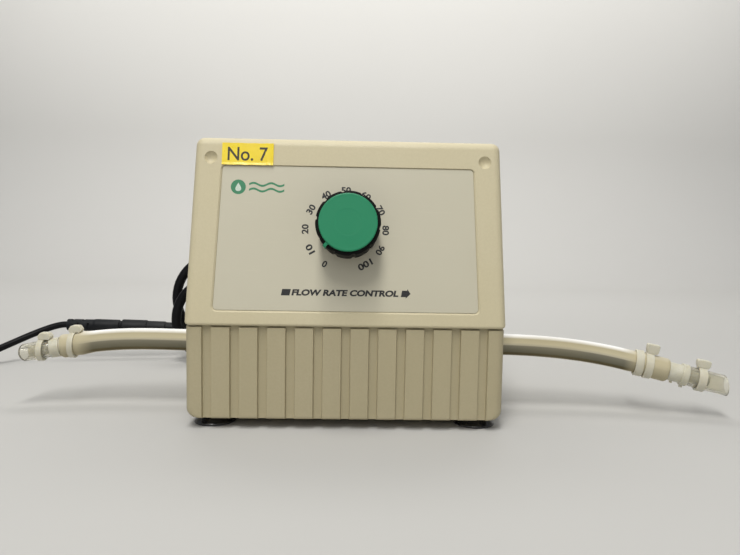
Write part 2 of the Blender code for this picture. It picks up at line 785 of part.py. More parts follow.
def rotor(rotor_axis):
    bore = ROTOR_SHAFT_RADIUS + GAP
    profile = [
        (bore, BACK_PLATE_DEPTHS[0]),
        (PLATE_RADIUS, BACK_PLATE_DEPTHS[0]),
        (PLATE_RADIUS, BACK_PLATE_DEPTHS[1]),
        (HUB_RADIUS, BACK_PLATE_DEPTHS[1]),
        (HUB_RADIUS, ROLLER_DEPTHS[1]),
        (bore, ROLLER_DEPTHS[1]),
    ]
    hub = piece("rotor_hub", lathe(profile, LARGE_SEGMENTS), "pale_nylon", rotor_axis, smooth=35)
    cut(hub, pin_holes(0, 15 * MM), rotor_axis)
    plate = ring(bore, PLATE_RADIUS, *FRONT_PLATE_DEPTHS, LARGE_SEGMENTS)
    front = piece("rotor_front_plate", plate, "pale_nylon", rotor_axis, smooth=35)
    cut(front, pin_holes(20 * MM, 40 * MM), rotor_axis)
    shaft = cylinder(ROTOR_SHAFT_RADIUS, *ROTOR_SHAFT_DEPTHS)
    piece("rotor_shaft", shaft, "steel", rotor_axis, smooth=35)
    for number, place in roller_places():
        roller_axis = frame_empty(f"roller_axis_{number}", place, parent=rotor_axis)
        roller = ring(PIN_RADIUS + GAP, ROLLER_RADIUS, *ROLLER_DEPTHS)
        piece(f"roller_{number}", roller, "white_nylon", roller_axis, smooth=35)
        pin = cylinder(PIN_RADIUS, BACK_PLATE_DEPTHS[0], FRONT_PLATE_DEPTHS[1], SMALL_SEGMENTS)
        fixed = piece(f"roller_pin_{number}", pin, "steel", rotor_axis, smooth=35)
        fixed.location = place


# ---------------------------------------------------------------- drive


def tooth_outline(teeth, first_tooth):
    """A spur gear's outline: straight flanks at 20 degrees, thinned for backlash."""
    pitch_radius = GEAR_MODULE * teeth / 2
    pressure = math.tan(math.radians(20))
    half_at_pitch = 0.21 * math.pi * GEAR_MODULE
    points = []
    for i in range(teeth):
        middle = first_tooth + 2 * math.pi * i / teeth
        for rise, side in ((-TOOTH_DEDENDUM, -1), (TOOTH_ADDENDUM, -1), (TOOTH_ADDENDUM, 1),
                           (-TOOTH_DEDENDUM, 1)):
            radius = pitch_radius + rise
            angle = middle + side * (half_at_pitch - rise * pressure) / radius
            points.append((radius * math.cos(angle), radius * math.sin(angle)))
    return points


def drive_train(rotor_axis, motor_axis):
    # A tooth space of the large gear faces up, and a tooth of the pinion faces down into it.
    up = math.radians(90)
    half_pitch = math.pi / GEAR_TEETH
    outline = tooth_outline(GEAR_TEETH, up + half_pitch)
    gear = piece("drive_gear", prism(outline, *GEAR_DEPTHS), "white_nylon", rotor_axis)
    cut(gear, cylinder(ROTOR_SHAFT_RADIUS + GAP, -20 * MM, 20 * MM), rotor_axis)
    pinion_outline = tooth_outline(PINION_TEETH, -up)
    pinion = piece("drive_pinion", prism(pinion_outline, *PINION_DEPTHS), "brass", motor_axis)
    cut(pinion, cylinder(MOTOR_SHAFT_RADIUS + GAP, -20 * MM, 20 * MM, SMALL_SEGMENTS), motor_axis)
    shaft = cylinder(MOTOR_SHAFT_RADIUS, *MOTOR_SHAFT_DEPTHS, SMALL_SEGMENTS)
    piece("motor_shaft", shaft, "steel", motor_axis, smooth=35)


def motor(motor_place):
    back, front = MOTOR_DEPTHS
    bore = MOTOR_SHAFT_RADIUS + GAP
    profile = [
        (0, back),
        (MOTOR_RADIUS - MM, back),
        (MOTOR_RADIUS, back + MM),
        (MOTOR_RADIUS, front - MM),
        (MOTOR_RADIUS - MM, front),
        (bore, front),
        (bore, MOTOR_SHAFT_DEPTHS[0] - GAP),
        (0, MOTOR_SHAFT_DEPTHS[0] - GAP),
    ]
    can = piece("motor_can", lathe(profile, LARGE_SEGMENTS), "steel", motor_place, smooth=35)
    radius = SCREW_RADIUS + SCREW_CLEARANCE
    sockets = [
        moved(cylinder(radius, front - 6 * MM, front + MM, SMALL_SEGMENTS), (side * MOTOR_SCREW_X, 0, 0))
        for side in (-1, 1)
    ]
    cut(can, merged(sockets), motor_place)
    for side, x in (("left", -MOTOR_SCREW_X), ("right", MOTOR_SCREW_X)):
        head_low = BRACKET_BACK + BRACKET_THICKNESS + GAP + SCREW_HEAD_HEIGHT
        screw(f"motor_screw_{side}", (x, 0, 0), head_low, front - 5 * MM, motor_place, way=-1)


def motor_bracket(rotor_height_axis, motor_place):
    low = BASE_WALL + GAP
    inner_front = BRACKET_FRONT - BRACKET_THICKNESS
    inner_back = BRACKET_BACK + BRACKET_THICKNESS
    outline = [
        (BRACKET_FRONT, low),
        (BRACKET_FRONT, BRACKET_TOP),
        (inner_front, BRACKET_TOP),
        (inner_front, low + BRACKET_THICKNESS),
        (inner_back, low + BRACKET_THICKNESS),
        (inner_back, BRACKET_TOP),
        (BRACKET_BACK, BRACKET_TOP),
        (BRACKET_BACK, low),
    ]
    half = BRACKET_HALF_WIDTH
    rings = [[(x, -depth, height) for depth, height in outline] for x in (-half, half)]
    bracket = piece("motor_bracket", loft(rings), "aluminium")
    cut(bracket, cylinder(BUSH_RADIUS + GAP, -20 * MM, 20 * MM), rotor_height_axis)
    cut(bracket, head_screw_holes(1 * MM, 10 * MM), rotor_height_axis)
    hole = cylinder(6 * MM, -20 * MM, -5 * MM)
    radius = SCREW_RADIUS + SCREW_CLEARANCE
    screw_holes = [
        moved(cylinder(radius, -20 * MM, -5 * MM, SMALL_SEGMENTS), (side * MOTOR_SCREW_X, 0, 0))
        for side in (-1, 1)
    ]
    cut(bracket, merged([hole] + screw_holes), motor_place)
    plates = (("front", inner_front), ("rear", BRACKET_BACK))
    for name, plate_low in plates:
        low_end = plate_low + (BRACKET_THICKNESS - BUSH_LENGTH) / 2
        bush = ring(ROTOR_SHAFT_RADIUS + GAP, BUSH_RADIUS, low_end, low_end + BUSH_LENGTH)
        piece(f"shaft_bush_{name}", bush, "brass", rotor_height_axis, smooth=35)


# ---------------------------------------------------------------- electrics


def electrics():
    piece("control_board", block(BOARD_LOW, BOARD_HIGH), "board")
    top = BOARD_HIGH[2] + GAP
    comb = [(0, 0), (SINK_WIDTH, 0)]
    step = (SINK_WIDTH - FIN_WIDTH) / (FIN_COUNT - 1)
    for i in reversed(range(FIN_COUNT)):
        left = i * step
        comb += [(left + FIN_WIDTH, SINK_HEIGHT), (left, SINK_HEIGHT)]
        if i:
            comb += [(left, 3 * MM), (left - step + FIN_WIDTH, 3 * MM)]
    rings = [[(x, y, z) for x, z in comb] for y in (0, SINK_DEPTH)]
    sink = piece("heat_sink", loft(rings), "aluminium")
    sink.location = (52 * MM, 0, top)
    profile = [(0, 0), (CAPACITOR_RADIUS, 0), (CAPACITOR_RADIUS, CAPACITOR_HEIGHT - 0.8 * MM)]
    profile += [(CAPACITOR_RADIUS - 0.8 * MM, CAPACITOR_HEIGHT), (0, CAPACITOR_HEIGHT)]
    capacitor = piece("filter_capacitor", lathe(profile), "blue_plastic", smooth=35)
    capacitor.location = (57 * MM, 29 * MM, top)
    side = [(0, 0), (10, 0), (10, 6), (7, 10), (0, 10)]
    rings = [[(x * MM, y * MM, z * MM) for y, z in side] for x in (0, 14)]
    terminals = piece("terminal_block", loft(rings), "blue_plastic")
    terminals.location = (60 * MM, 38 * MM, top)
    start = Vector((67, 43, 20)) * MM
    end = Vector((18.6, 45, MOTOR_HEIGHT / MM)) * MM
    path = [start] + hermite(start, Vector((0, 0, 90)) * MM, end, Vector((-70, 0, 0)) * MM, 10)
    piece("motor_lead", cord(path, 1.5 * MM), "black_rubber", smooth=35)


# ---------------------------------------------------------------- tubing


def squeezed_ring(half_thickness, flat):
    """Points round a tube's wall, (across the squeeze, along it), with a flat on each side."""
    points = []
    for i in range(TUBE_SEGMENTS):
        angle = 2 * math.pi * i / TUBE_SEGMENTS
        along = half_thickness * math.sin(angle)
        if i % (TUBE_SEGMENTS // 2):
            along += math.copysign(flat, along)
        points.append((half_thickness * math.cos(angle), along))
    return points


def tube_stations():
    """The tube's path from its left end to its right, as (point, squeeze from 0 to 1)."""
    plane = -HEAD_DEPTH
    bend_x = ARCH_RADIUS + ENTRY_BEND_RADIUS
    left_wall = Vector((-83 * MM, plane, TUBE_HEIGHT))
    start = LEFT_END - LEFT_WAY * 11 * MM
    pull = (left_wall - start).length
    stations = [(LEFT_END, 0), (start, 0)]
    stations += [
        (point, 0)
        for point in hermite(start, -LEFT_WAY * pull, left_wall, Vector((pull, 0, 0)), 6)
    ]
    bend = []
    for i in range(BEND_STEPS + 1):
        angle = math.radians(90 * i / BEND_STEPS)
        x = -bend_x + ENTRY_BEND_RADIUS * math.sin(angle)
        z = ROTOR_HEIGHT - ENTRY_BEND_RADIUS * math.cos(angle)
        bend.append((Vector((x, plane, z)), smooth_step((angle - SQUEEZE_START) / SQUEEZE_SPAN)))
    arch = []
    for i in range(1, ARCH_STEPS):
        angle = math.pi * (1 - i / ARCH_STEPS)
        x = ARCH_RADIUS * math.cos(angle)
        arch.append((Vector((x, plane, ROTOR_HEIGHT + ARCH_RADIUS * math.sin(angle))), 1))
    mirrored = [(Vector((-p.x, p.y, p.z)), squeeze) for p, squeeze in reversed(bend)]
    stations += bend + arch + mirrored
    right_wall = Vector((83 * MM, plane, TUBE_HEIGHT))
    last = RIGHT_END - RIGHT_WAY * 20 * MM
    pull = (last - right_wall).length
    stations += [(right_wall, 0)]
    stations += [
        (point, 0)
        for point in hermite(right_wall, Vector((pull, 0, 0)), last, RIGHT_WAY * pull, 7)
    ]
    return stations + [(RIGHT_END, 0)]


def tube_rings(stations, inset):
    across_way = Vector((0, 1, 0))
    ways = tangents([point for point, _ in stations])
    rings = []
    for (point, squeeze), way in zip(stations, ways):
        across = (across_way - way * across_way.dot(way)).normalized()
        normal = across.cross(way)
        half = blend(TUBE_RADIUS, SQUEEZED_HALF_THICKNESS, squeeze)
        flat = blend(0, SQUEEZED_HALF_WIDTH - SQUEEZED_HALF_THICKNESS, squeeze)
        section = squeezed_ring(half - inset, flat)
        rings.append([point + normal * a + across * b for a, b in section])
    return rings


def pump_tube():
    stations = tube_stations()
    outer = tube_rings(stations, 0)
    inner = tube_rings(stations, TUBE_WALL)
    piece("pump_tube", loft(outer + inner[::-1], loop=True), "amber_tube", smooth=40)


def cable_tie(name, origin, way, along, tube_radius, strap, head_angle, head_shift):
    """A strap ring round a tube with its square head outside, at an angle from straight up."""
    inner = tube_radius + GAP
    outer = inner + TIE_THICKNESS
    half = strap / 2
    tie = piece(name, ring(inner, outer, -half, half, FITTING_SEGMENTS), "white_nylon", smooth=40)
    tie.matrix_world = aimed(origin + way * along, way)
    length, width, height = TIE_HEAD
    head = block(
        (-width / 2, outer - 0.6 * MM, head_shift - length / 2),
        (width / 2, outer - 0.6 * MM + height, head_shift + length / 2),
    )
    turn = Matrix.Rotation(math.radians(head_angle), 4, "Z")
    helper_frame = frame_empty(f"{name}_frame", (0, 0, 0))
    helper_frame.matrix_world = tie.matrix_world
    join(tie, turned(head, turn), helper_frame)


def coupler(name, origin, way, tube_bore, neck_radius, flange, next_start, next_bore):
    """A hollow barbed fitting: one spigot in the pump tube, a neck and flange, one in the next tube."""
    first = tube_bore - GAP
    second = next_bore - GAP
    flange_low, flange_high, flange_radius = flange
    profile = [
        (END_BORE, -13 * MM),
        (first - 0.7 * MM, -13 * MM),
        (first, -10 * MM),
        (first, GAP),
        (neck_radius, GAP),
        (neck_radius, flange_low),
        (flange_radius, flange_low),
        (flange_radius, flange_high),
        (second, flange_high),
        (second, next_start + 8 * MM),
        (second - 0.7 * MM, next_start + 11 * MM),
        (END_BORE - 0.1 * MM, next_start + 11 * MM),
    ]
    made = piece(name, lathe(profile, FITTING_SEGMENTS), "pale_nylon", smooth=35)
    made.matrix_world = aimed(origin, way)


def end_tube(name, origin, way, start, end, radius):
    wall = ring(radius - END_TUBE_WALL, radius, start, end, FITTING_SEGMENTS)
    made = piece(name, wall, "clear_tube", smooth=40)
    made.matrix_world = aimed(origin, way)


def tube_fittings():
    bore = TUBE_RADIUS - TUBE_WALL
    left_bore = LEFT_END_TUBE_RADIUS - END_TUBE_WALL
    right_bore = RIGHT_END_TUBE_RADIUS - END_TUBE_WALL
    left_flange = (0.9 * MM, 6.0 * MM, 5.7 * MM)
    right_flange = (7.4 * MM, 10.9 * MM, 6.4 * MM)
    coupler("left_coupler", LEFT_END, LEFT_WAY, bore, 5.0 * MM, left_flange, 6.3 * MM, left_bore)
    coupler("right_coupler", RIGHT_END, RIGHT_WAY, bore, 5.4 * MM, right_flange, 11.2 * MM, right_bore)
    end_tube("left_end_tube", LEFT_END, LEFT_WAY, 6.3 * MM, 20.5 * MM, LEFT_END_TUBE_RADIUS)
    end_tube("right_end_tube", RIGHT_END, RIGHT_WAY, 11.2 * MM, 31.5 * MM, RIGHT_END_TUBE_RADIUS)
    slim, wide = TIE_WIDTHS
    cable_tie("left_tie_inner", LEFT_END, LEFT_WAY, -6.3 * MM, TUBE_RADIUS, slim, 0, -1.5 * MM)
    cable_tie("left_tie_outer", LEFT_END, LEFT_WAY, 10.8 * MM, LEFT_END_TUBE_RADIUS, slim, 0, -1.9 * MM)
    cable_tie("right_tie_inner", RIGHT_END, RIGHT_WAY, -16.2 * MM, TUBE_RADIUS, wide, -90, -2.2 * MM)
    cable_tie("right_tie_middle", RIGHT_END, RIGHT_WAY, -10.9 * MM, TUBE_RADIUS, wide, 0, 1.5 * MM)
    cable_tie("right_tie_outer", RIGHT_END, RIGHT_WAY, 18.0 * MM, RIGHT_END_TUBE_RADIUS, wide, 0, 0)


# ---------------------------------------------------------------- cord


def coil_point(share):
    """A loose two-turn coil standing behind the case's left side, sinking as it comes forward."""
    angle = math.radians(-90 + 360 * COIL_TURNS * share)
    radius = blend(30, 25, share)
    x = blend(-112.4, -108.4, share) + radius * math.cos(angle)
    y = blend(118, 84, share)
    z = blend(54.75, 24.75, share) + radius * math.sin(angle)
    return Vector((x, y, z)) * MM


def power_cord_path():
    """From inside the jack, round the coil, through the grip and along the back wall."""
    way = (JACK_END - PLUG_END).normalized()
    start = JACK_END - way * 9 * MM
    out = JACK_END + way * 1.5 * MM
    path = [start, out]
    steps = COIL_STEPS * COIL_TURNS
    coil = [coil_point(i / steps) for i in range(steps + 1)]
    first_pull = (coil[1] - coil[0]).normalized() * 28 * MM
    path += hermite(out, way * 28 * MM, coil[0], first_pull, 4)
    path += coil[1:]
    leaving = (coil[-1] - coil[-2]).normalized() * 85 * MM
    behind_grip = Vector((GRIP_X, 94 * MM, GRIP_HEIGHT))
    path += hermite(coil[-1], leaving, behind_grip, Vector((0, -70, 0)) * MM, 9)
    inside_grip = Vector((GRIP_X, 61 * MM, GRIP_HEIGHT))
    path.append(inside_grip)
    turn_end = Vector((GRIP_X + 13 * MM, 50 * MM, 17 * MM))
    path += hermite(inside_grip, Vector((0, -18, 0)) * MM, turn_end, Vector((20, 0, -2)) * MM, 4)
    return path + [Vector((58.5, 43.5, 14.5)) * MM]


def inline_connectors():
    way = (JACK_END - PLUG_END).normalized()
    total = (JACK_END - PLUG_END).length
    lead_bore = LEAD_RADIUS + GAP
    cord_bore = CORD_RADIUS + GAP
    plug_profile = [
        (lead_bore, 0),
        (4.5 * MM, 0),
        (4.8 * MM, 19.5 * MM),
        (5.2 * MM, 20.5 * MM),
        (5.2 * MM, 37.5 * MM),
        (4.2 * MM, PLUG_LENGTH - MM),
        (4.2 * MM, PLUG_LENGTH),
        (2.6 * MM, PLUG_LENGTH),
        (2.6 * MM, PLUG_LENGTH + 8.5 * MM),
        (0, PLUG_LENGTH + 8.5 * MM),
        (0, 12 * MM),
        (lead_bore, 12 * MM),
    ]
    plug = piece("inline_plug", turned_profile(plug_profile), "black_plastic", smooth=35)
    plug.matrix_world = aimed(PLUG_END, way)
    socket_end = total - PLUG_LENGTH - GAP
    jack_profile = [
        (cord_bore, 0),
        (4.3 * MM, 0),
        (5.0 * MM, 10 * MM),
        (5.0 * MM, 22 * MM),
        (5.6 * MM, 23 * MM),
        (5.6 * MM, socket_end - MM),
        (4.8 * MM, socket_end),
        (2.9 * MM, socket_end),
        (2.9 * MM, socket_end - 9 * MM),
        (0, socket_end - 9 * MM),
        (0, 9.5 * MM),
        (cord_bore, 9.5 * MM),
    ]
    jack = piece("inline_jack", turned_profile(jack_profile), "black_plastic", smooth=35)
    jack.matrix_world = aimed(JACK_END, -way)


def turned_profile(profile, segments=FITTING_SEGMENTS):
    """A solid turned from a profile that touches the axis at two places in its middle."""
    first = next(i for i, (radius, _) in enumerate(profile) if radius == 0)
    return lathe(profile[first + 1:] + profile[:first + 1], segments)


def supply_lead_path():
    way = (JACK_END - PLUG_END).normalized()
    inside = PLUG_END + way * 11 * MM
    outside = PLUG_END - way * 1.5 * MM
    end = Vector((-266, 66, 4.5)) * MM
    down = Vector((-18, -46, -8)) * MM
    return [inside, outside] + hermite(outside, -way * 34 * MM, end, down, 10)


def cords():
    piece("power_cord", cord(power_cord_path(), CORD_RADIUS), "black_rubber", smooth=50)
    piece("supply_lead", cord(supply_lead_path(), LEAD_RADIUS), "black_rubber", smooth=50)
    bore = CORD_RADIUS + GAP
    profile = [
        (bore, 62 * MM),
        (7.6 * MM, 62 * MM),
        (7.6 * MM, 64.7 * MM),
        (GRIP_RADIUS, 64.7 * MM),
        (GRIP_RADIUS, 67.8 * MM),
        (8.5 * MM, 67.8 * MM),
        (8.5 * MM, 70.0 * MM),
        (6.0 * MM, 71.0 * MM),
        (4.8 * MM, 89.0 * MM),
        (bore, 89.0 * MM),
    ]
    grip = piece("cord_grip", lathe(profile), "black_rubber", smooth=35)
    grip.location = (GRIP_X, 0, GRIP_HEIGHT)
    grip.rotation_euler = (math.radians(-90), 0, 0)


def build():
    clear_scene()
    tilt = (math.radians(90) - PANEL_ANGLE, 0, 0)
    knob_place = (
        KNOB_X,
        COVER_FRONT + KNOB_RISE * math.sin(PANEL_ANGLE),
        SEAM_HEIGHT + KNOB_RISE * math.cos(PANEL_ANGLE),
    )
    facing_front = (math.radians(90), 0, 0)
    panel = frame_empty("panel_frame", knob_place, tilt)
    knob_axis = frame_empty("knob_axis", knob_place, tilt)
    head = frame_empty("head_frame", (0, 0, ROTOR_HEIGHT), facing_front)
    rotor_axis = frame_empty("rotor_axis", (0, 0, ROTOR_HEIGHT), facing_front)
    motor_place = frame_empty("motor_frame", (0, 0, MOTOR_HEIGHT), facing_front)
    motor_axis = frame_empty("motor_axis", (0, 0, MOTOR_HEIGHT), facing_front)
    base_tray()
    top_cover(panel)
    feet()
    case_screws()
    panel_labels(panel)
    knob(knob_axis)
    potentiometer(panel)
    pump_head(head)
    rotor(rotor_axis)
    drive_train(rotor_axis, motor_axis)
    motor(motor_place)
    motor_bracket(head, motor_place)
    electrics()
    pump_tube()
    tube_fittings()
    cords()
    inline_connectors()


build()
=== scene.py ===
"""The looks of a benchtop peristaltic pump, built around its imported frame.

Everything is in metres in the frame's axes: +X is the operator's right, +Y points to the
back and +Z up, with the origin in the middle of the case's flat underside.
"""

import json
import math

import bmesh
import bpy
from mathutils import Matrix, Vector


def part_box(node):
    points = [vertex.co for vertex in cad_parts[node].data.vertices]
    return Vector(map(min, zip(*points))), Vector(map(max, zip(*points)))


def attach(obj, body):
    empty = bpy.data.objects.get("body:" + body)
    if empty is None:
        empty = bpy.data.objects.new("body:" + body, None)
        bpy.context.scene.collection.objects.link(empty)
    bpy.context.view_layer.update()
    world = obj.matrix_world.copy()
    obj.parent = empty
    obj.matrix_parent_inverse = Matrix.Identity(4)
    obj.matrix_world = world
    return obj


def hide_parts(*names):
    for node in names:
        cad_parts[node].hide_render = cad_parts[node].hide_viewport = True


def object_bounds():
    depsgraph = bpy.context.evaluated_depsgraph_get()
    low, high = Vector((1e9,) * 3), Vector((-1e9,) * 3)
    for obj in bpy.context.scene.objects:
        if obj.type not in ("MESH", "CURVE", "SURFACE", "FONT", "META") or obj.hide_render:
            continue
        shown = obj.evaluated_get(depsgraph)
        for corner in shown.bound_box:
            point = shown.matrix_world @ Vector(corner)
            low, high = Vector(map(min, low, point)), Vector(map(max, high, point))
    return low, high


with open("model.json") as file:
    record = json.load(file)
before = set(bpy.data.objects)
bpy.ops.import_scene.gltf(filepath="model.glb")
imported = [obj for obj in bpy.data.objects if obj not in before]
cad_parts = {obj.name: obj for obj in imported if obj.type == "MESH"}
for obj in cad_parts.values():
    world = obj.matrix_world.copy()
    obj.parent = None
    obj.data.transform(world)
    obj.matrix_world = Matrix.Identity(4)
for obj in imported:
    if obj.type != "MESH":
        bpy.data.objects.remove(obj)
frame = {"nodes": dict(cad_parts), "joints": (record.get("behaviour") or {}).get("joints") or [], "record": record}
CAD_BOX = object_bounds()

MM = 0.001

# Camera, from the middle of the case's underside
CAMERA_PLACE = Vector((4.7, -363.3, 95.9)) * MM
CAMERA_YAW = math.radians(1.40)
CAMERA_PITCH = math.radians(-4.13)
CAMERA_ROLL = math.radians(0.99)
CAMERA_LENS = 28.22

# Case
COVER_EDGE = 4.4 * MM
COVER_FOOT_EDGE = 1.6 * MM
COVER_TAPER = 2.3 * MM
COVER_WALL = 2.5 * MM
COVER_FRONT_WALL = 3.0 * MM
BASE_EDGE = 5.0 * MM
BASE_FRONT_EDGE = 1.3 * MM
BASE_CORNER = 4.5 * MM
BASE_WALL = 2.5 * MM
BASE_FRONT_WALL = 4.0 * MM
BASE_TOP = 47.8 * MM
SEAM = 48.1 * MM
LIP_HEIGHT = 3.0 * MM
LIP_INSET = 1.1 * MM
LIP_FRONT = -65.8 * MM
GAP = 0.3 * MM
GROOVE_COUNT = 11
GROOVE_PITCH = 14.31 * MM
GROOVE_WIDTH = 4.8 * MM
GROOVE_DEPTH = 2.0 * MM
VENT_COUNT = 6
VENT_PITCH = 7.0 * MM
VENT_SIZE = (44.0 * MM, 2.6 * MM)
VENT_MIDDLE = 98.0 * MM
POST_PLACE = (75.5 * MM, 60.3 * MM)
POST_RADIUS = 5.5 * MM
POST_TOP = 50.6 * MM
BOSS_HEIGHTS = (51.9 * MM, 62.5 * MM)
COUNTERBORE_RADIUS = 3.4 * MM
COUNTERBORE_TOP = 40.0 * MM
SCREW_HOLE_RADIUS = 1.8 * MM
SCREW_HOLE_TOP = 61.5 * MM
STANDOFF_RADIUS = 3.0 * MM
STANDOFF_XS = (53.0 * MM, 73.0 * MM)
STANDOFF_YS = (-6.0 * MM, 44.0 * MM)
FOOT_NODES = ("foot_front_left", "foot_front_right", "foot_back_left", "foot_back_right")
FOOT_HOLE_RADIUS = 2.8 * MM
FOOT_SEAT_RADIUS = 8.9 * MM
FOOT_SEAT_DEPTH = 0.5 * MM
GRIP_HOLE_RADIUS = 6.5 * MM

# Panel: heights up its slope are counted from the knob's axis.
RECESS_LOW = -42.8 * MM
RECESS_HIGH = 33.4 * MM
RECESS_LOW_HALF_WIDTH = 68.4 * MM
RECESS_HIGH_HALF_WIDTH = 66.2 * MM
RECESS_DEPTH = 1.2 * MM
RECESS_CORNER = 2.2 * MM
POT_HOLE_RADIUS = 4.9 * MM
FILM_MARGIN = -0.15 * MM
FILM_EDGE = 0.08 * MM
FILM_LOW = -RECESS_DEPTH + GAP
FILM_TOP = FILM_LOW + 0.4 * MM
FILM_HOLE_RADIUS = 5.0 * MM
DIMPLE_PLACE = (72.2 * MM, 37.3 * MM)
DIMPLE_RADIUS = 3.4 * MM
DIMPLE_DEPTH = 2.0 * MM
DIAL_CENTRE = (-1.1 * MM, 0.0)
DIAL_RADIUS = 21.0 * MM
DIAL_FIRST = -150
DIAL_STEP = 30
DIGIT_SIZE = 4.9 * MM
DIGIT_HEIGHT = 3.55 * MM
DIGIT_WIDTH = 2.75 * MM
DIGIT_GAP = 0.35 * MM
DIGIT_WEIGHT = 0.165 * MM
CAPTION_RISE = -33.1 * MM
CAPTION_HEIGHT = 3.3 * MM
CAPTION_WIDTH = 55.0 * MM
CAPTION_LEAN = 0.2
CAPTION_WEIGHT = 0.16 * MM
BADGE_PLACE = (-57.5 * MM, 21.8 * MM)
BADGE_RADIUS = 3.9 * MM
WAVE_REACH = (5.6 * MM, 24.0 * MM)
WAVE_PLACE = 1.5 * MM
WAVE_SWING = 0.75 * MM
WAVE_HALF_WIDTH = 0.55 * MM
INK_THICKNESS = 0.03 * MM
INK_MIDDLE = FILM_TOP + INK_THICKNESS / 2
TAPE_SIZE = (27.0 * MM, 11.8 * MM)
TAPE_THICKNESS = 0.16 * MM
TAPE_TEXT_SIZE = 8.6 * MM
TAPE_TEXT_WEIGHT = 0.1 * MM
TAPE_TEXT_WIDTH = 21.0 * MM
TAPE_TEXT_HEIGHT = 7.4 * MM

# Knob
FLUTE_COUNT = 10
FLUTE_DEPTH = 0.6 * MM
KNOB_SEGMENTS = 180
POINTER_ANGLE = math.radians(-136)

# Tubing
TUBE_RADIUS = 6.35 * MM
TUBE_WALL = 2.35 * MM
TUBE_HOLE_RADIUS = TUBE_RADIUS + 0.85 * MM
ENTRY_BEND_RADIUS = 22.0 * MM
ARCH_RADIUS = 26.9 * MM
SQUEEZED_HALF_THICKNESS = 2.6 * MM
SQUEEZED_HALF_WIDTH = 8.4 * MM
END_TUBE_WALL = 1.6 * MM
LEFT_REACH = 20.5 * MM
RIGHT_REACH = 31.5 * MM
LEFT_END_RADIUS = 5.1 * MM
RIGHT_END_RADIUS = 5.75 * MM
FITTING_BORE = 2.2 * MM
WALL_PLACE = 83.0 * MM

# How many millimetres the tube runs straight inside its ends
LEFT_STRAIGHT = 11
RIGHT_STRAIGHT = 20

# Cable ties in millimetres. A head is its length, width and height, then the half length of its
# top and the height of its shoulders as shares of these.
SLIM_TIE = 3.1
WIDE_TIE = 4.3
STRAP_THICKNESS = 1.35
HEAD_SINK = 0.4
PEAKED_HEAD = (7.2, 5.0, 4.1, 0.27, 0.5)
TALL_HEAD = (6.8, 5.0, 5.6, 0.42, 0.75)
SQUARE_HEAD = (7.0, 5.0, 4.5, 0.42, 0.7)

# Cords
CORD_RADIUS = 3.65 * MM
LEAD_RADIUS = 2.5 * MM
PLUG_END = Vector((-222.8, 98.0, 21.5)) * MM
JACK_END = Vector((-141.3, 109.0, 18.0)) * MM
PLUG_LENGTH = 40.5 * MM
GRIP_X = -48.0 * MM
GRIP_HEIGHT = 20.5 * MM

# Stage
FLOOR_REACH = 5.0
BACKDROP_PLACE = 0.75
BACKDROP_BEND = 0.35
BACKDROP_TOP = 2.4
SOFTBOXES = (
    ("overhead", (-0.09, -0.55, 1.18), (0, 0, 0.06), (0.24, 1.0), 13.4),
    ("front fill", (-0.35, -1.4, 0.95), (0, 0, 0.06), (1.6, 1.0), 3.3),
    ("top edge", (0.0, 0.40, 0.95), (0, 0.0, 0.10), (0.9, 0.25), 2.5),
    ("backdrop wash", (0.0, 0.5, 1.0), (0, 1.1, 0.72), (2.4, 0.3), 13.0),
)


# ---------------------------------------------------------------- mesh helpers


def blend(a, b, share):
    return a + (b - a) * share


def smooth_step(share):
    share = min(max(share, 0.0), 1.0)
    return share * share * (3 - 2 * share)


def millimetres(points):
    """Flat points given in millimetres, in metres."""
    return [(x * MM, y * MM) for x, y in points]


def rotated(degrees, axis):
    return Matrix.Rotation(math.radians(degrees), 4, axis)


def soften(points, radius, closed=False):
    """A line through the points with its corners rounded, but for the ends of an open one."""
    steps = 4
    corners = [Vector(point) for point in points]
    made = []
    for i, corner in enumerate(corners):
        if not closed and i in (0, len(corners) - 1):
            made.append(corner)
            continue
        before = corners[i - 1] - corner
        after = corners[(i + 1) % len(corners)] - corner
        reach = min(radius, 0.45 * before.length, 0.45 * after.length)
        start = corner + before.normalized() * reach
        end = corner + after.normalized() * reach
        for step in range(steps + 1):
            t = step / steps
            made.append(start * (1 - t) ** 2 + corner * 2 * t * (1 - t) + end * t * t)
    return made


def hermite(start, start_pull, end, end_pull, count):
    """Points after the start on a cubic from start to end, with the pull at each end."""
    points = []
    for i in range(1, count + 1):
        t = i / count
        points.append(
            start * (2 * t**3 - 3 * t**2 + 1)
            + start_pull * (t**3 - 2 * t**2 + t)
            + end * (3 * t**2 - 2 * t**3)
            + end_pull * (t**3 - t**2)
        )
    return points


def bridge(bm, first, second):
    """Quads between two rings, or triangles where one is a single point."""
    count = max(len(first), len(second))
    for i in range(count):
        j = (i + 1) % count
        corners = [first[i % len(first)], first[j % len(first)]]
        corners += [second[j % len(second)], second[i % len(second)]]
        bm.faces.new(list(dict.fromkeys(corners)))


def loft(rings, loop=False):
    """A solid through rings of points, closed with end caps, or back onto its first ring."""
    bm = bmesh.new()
    made = [[bm.verts.new(point) for point in ring] for ring in rings]
    for first, second in zip(made, made[1:]):
        bridge(bm, first, second)
    if loop:
        bridge(bm, made[-1], made[0])
    else:
        for ring in (made[0], made[-1]):
            if len(ring) > 2:
                bm.faces.new(ring)
    return bm


def rounded(middles, radius):
    """An outline of four quarter circles, the first of them the one towards +X and +Y."""
    outline = []
    for quarter, (x, y) in enumerate(middles):
        for step in range(9):
            angle = math.radians(90 * (quarter + step / 8))
            outline.append((x + radius * math.cos(angle), y + radius * math.sin(angle)))
    return outline


def circle(radius, height, segments):
    if radius < 1e-9:
        return [(0.0, 0.0, height)]
    angles = [2 * math.pi * i / segments for i in range(segments)]
    return [(radius * math.cos(a), radius * math.sin(a), height) for a in angles]


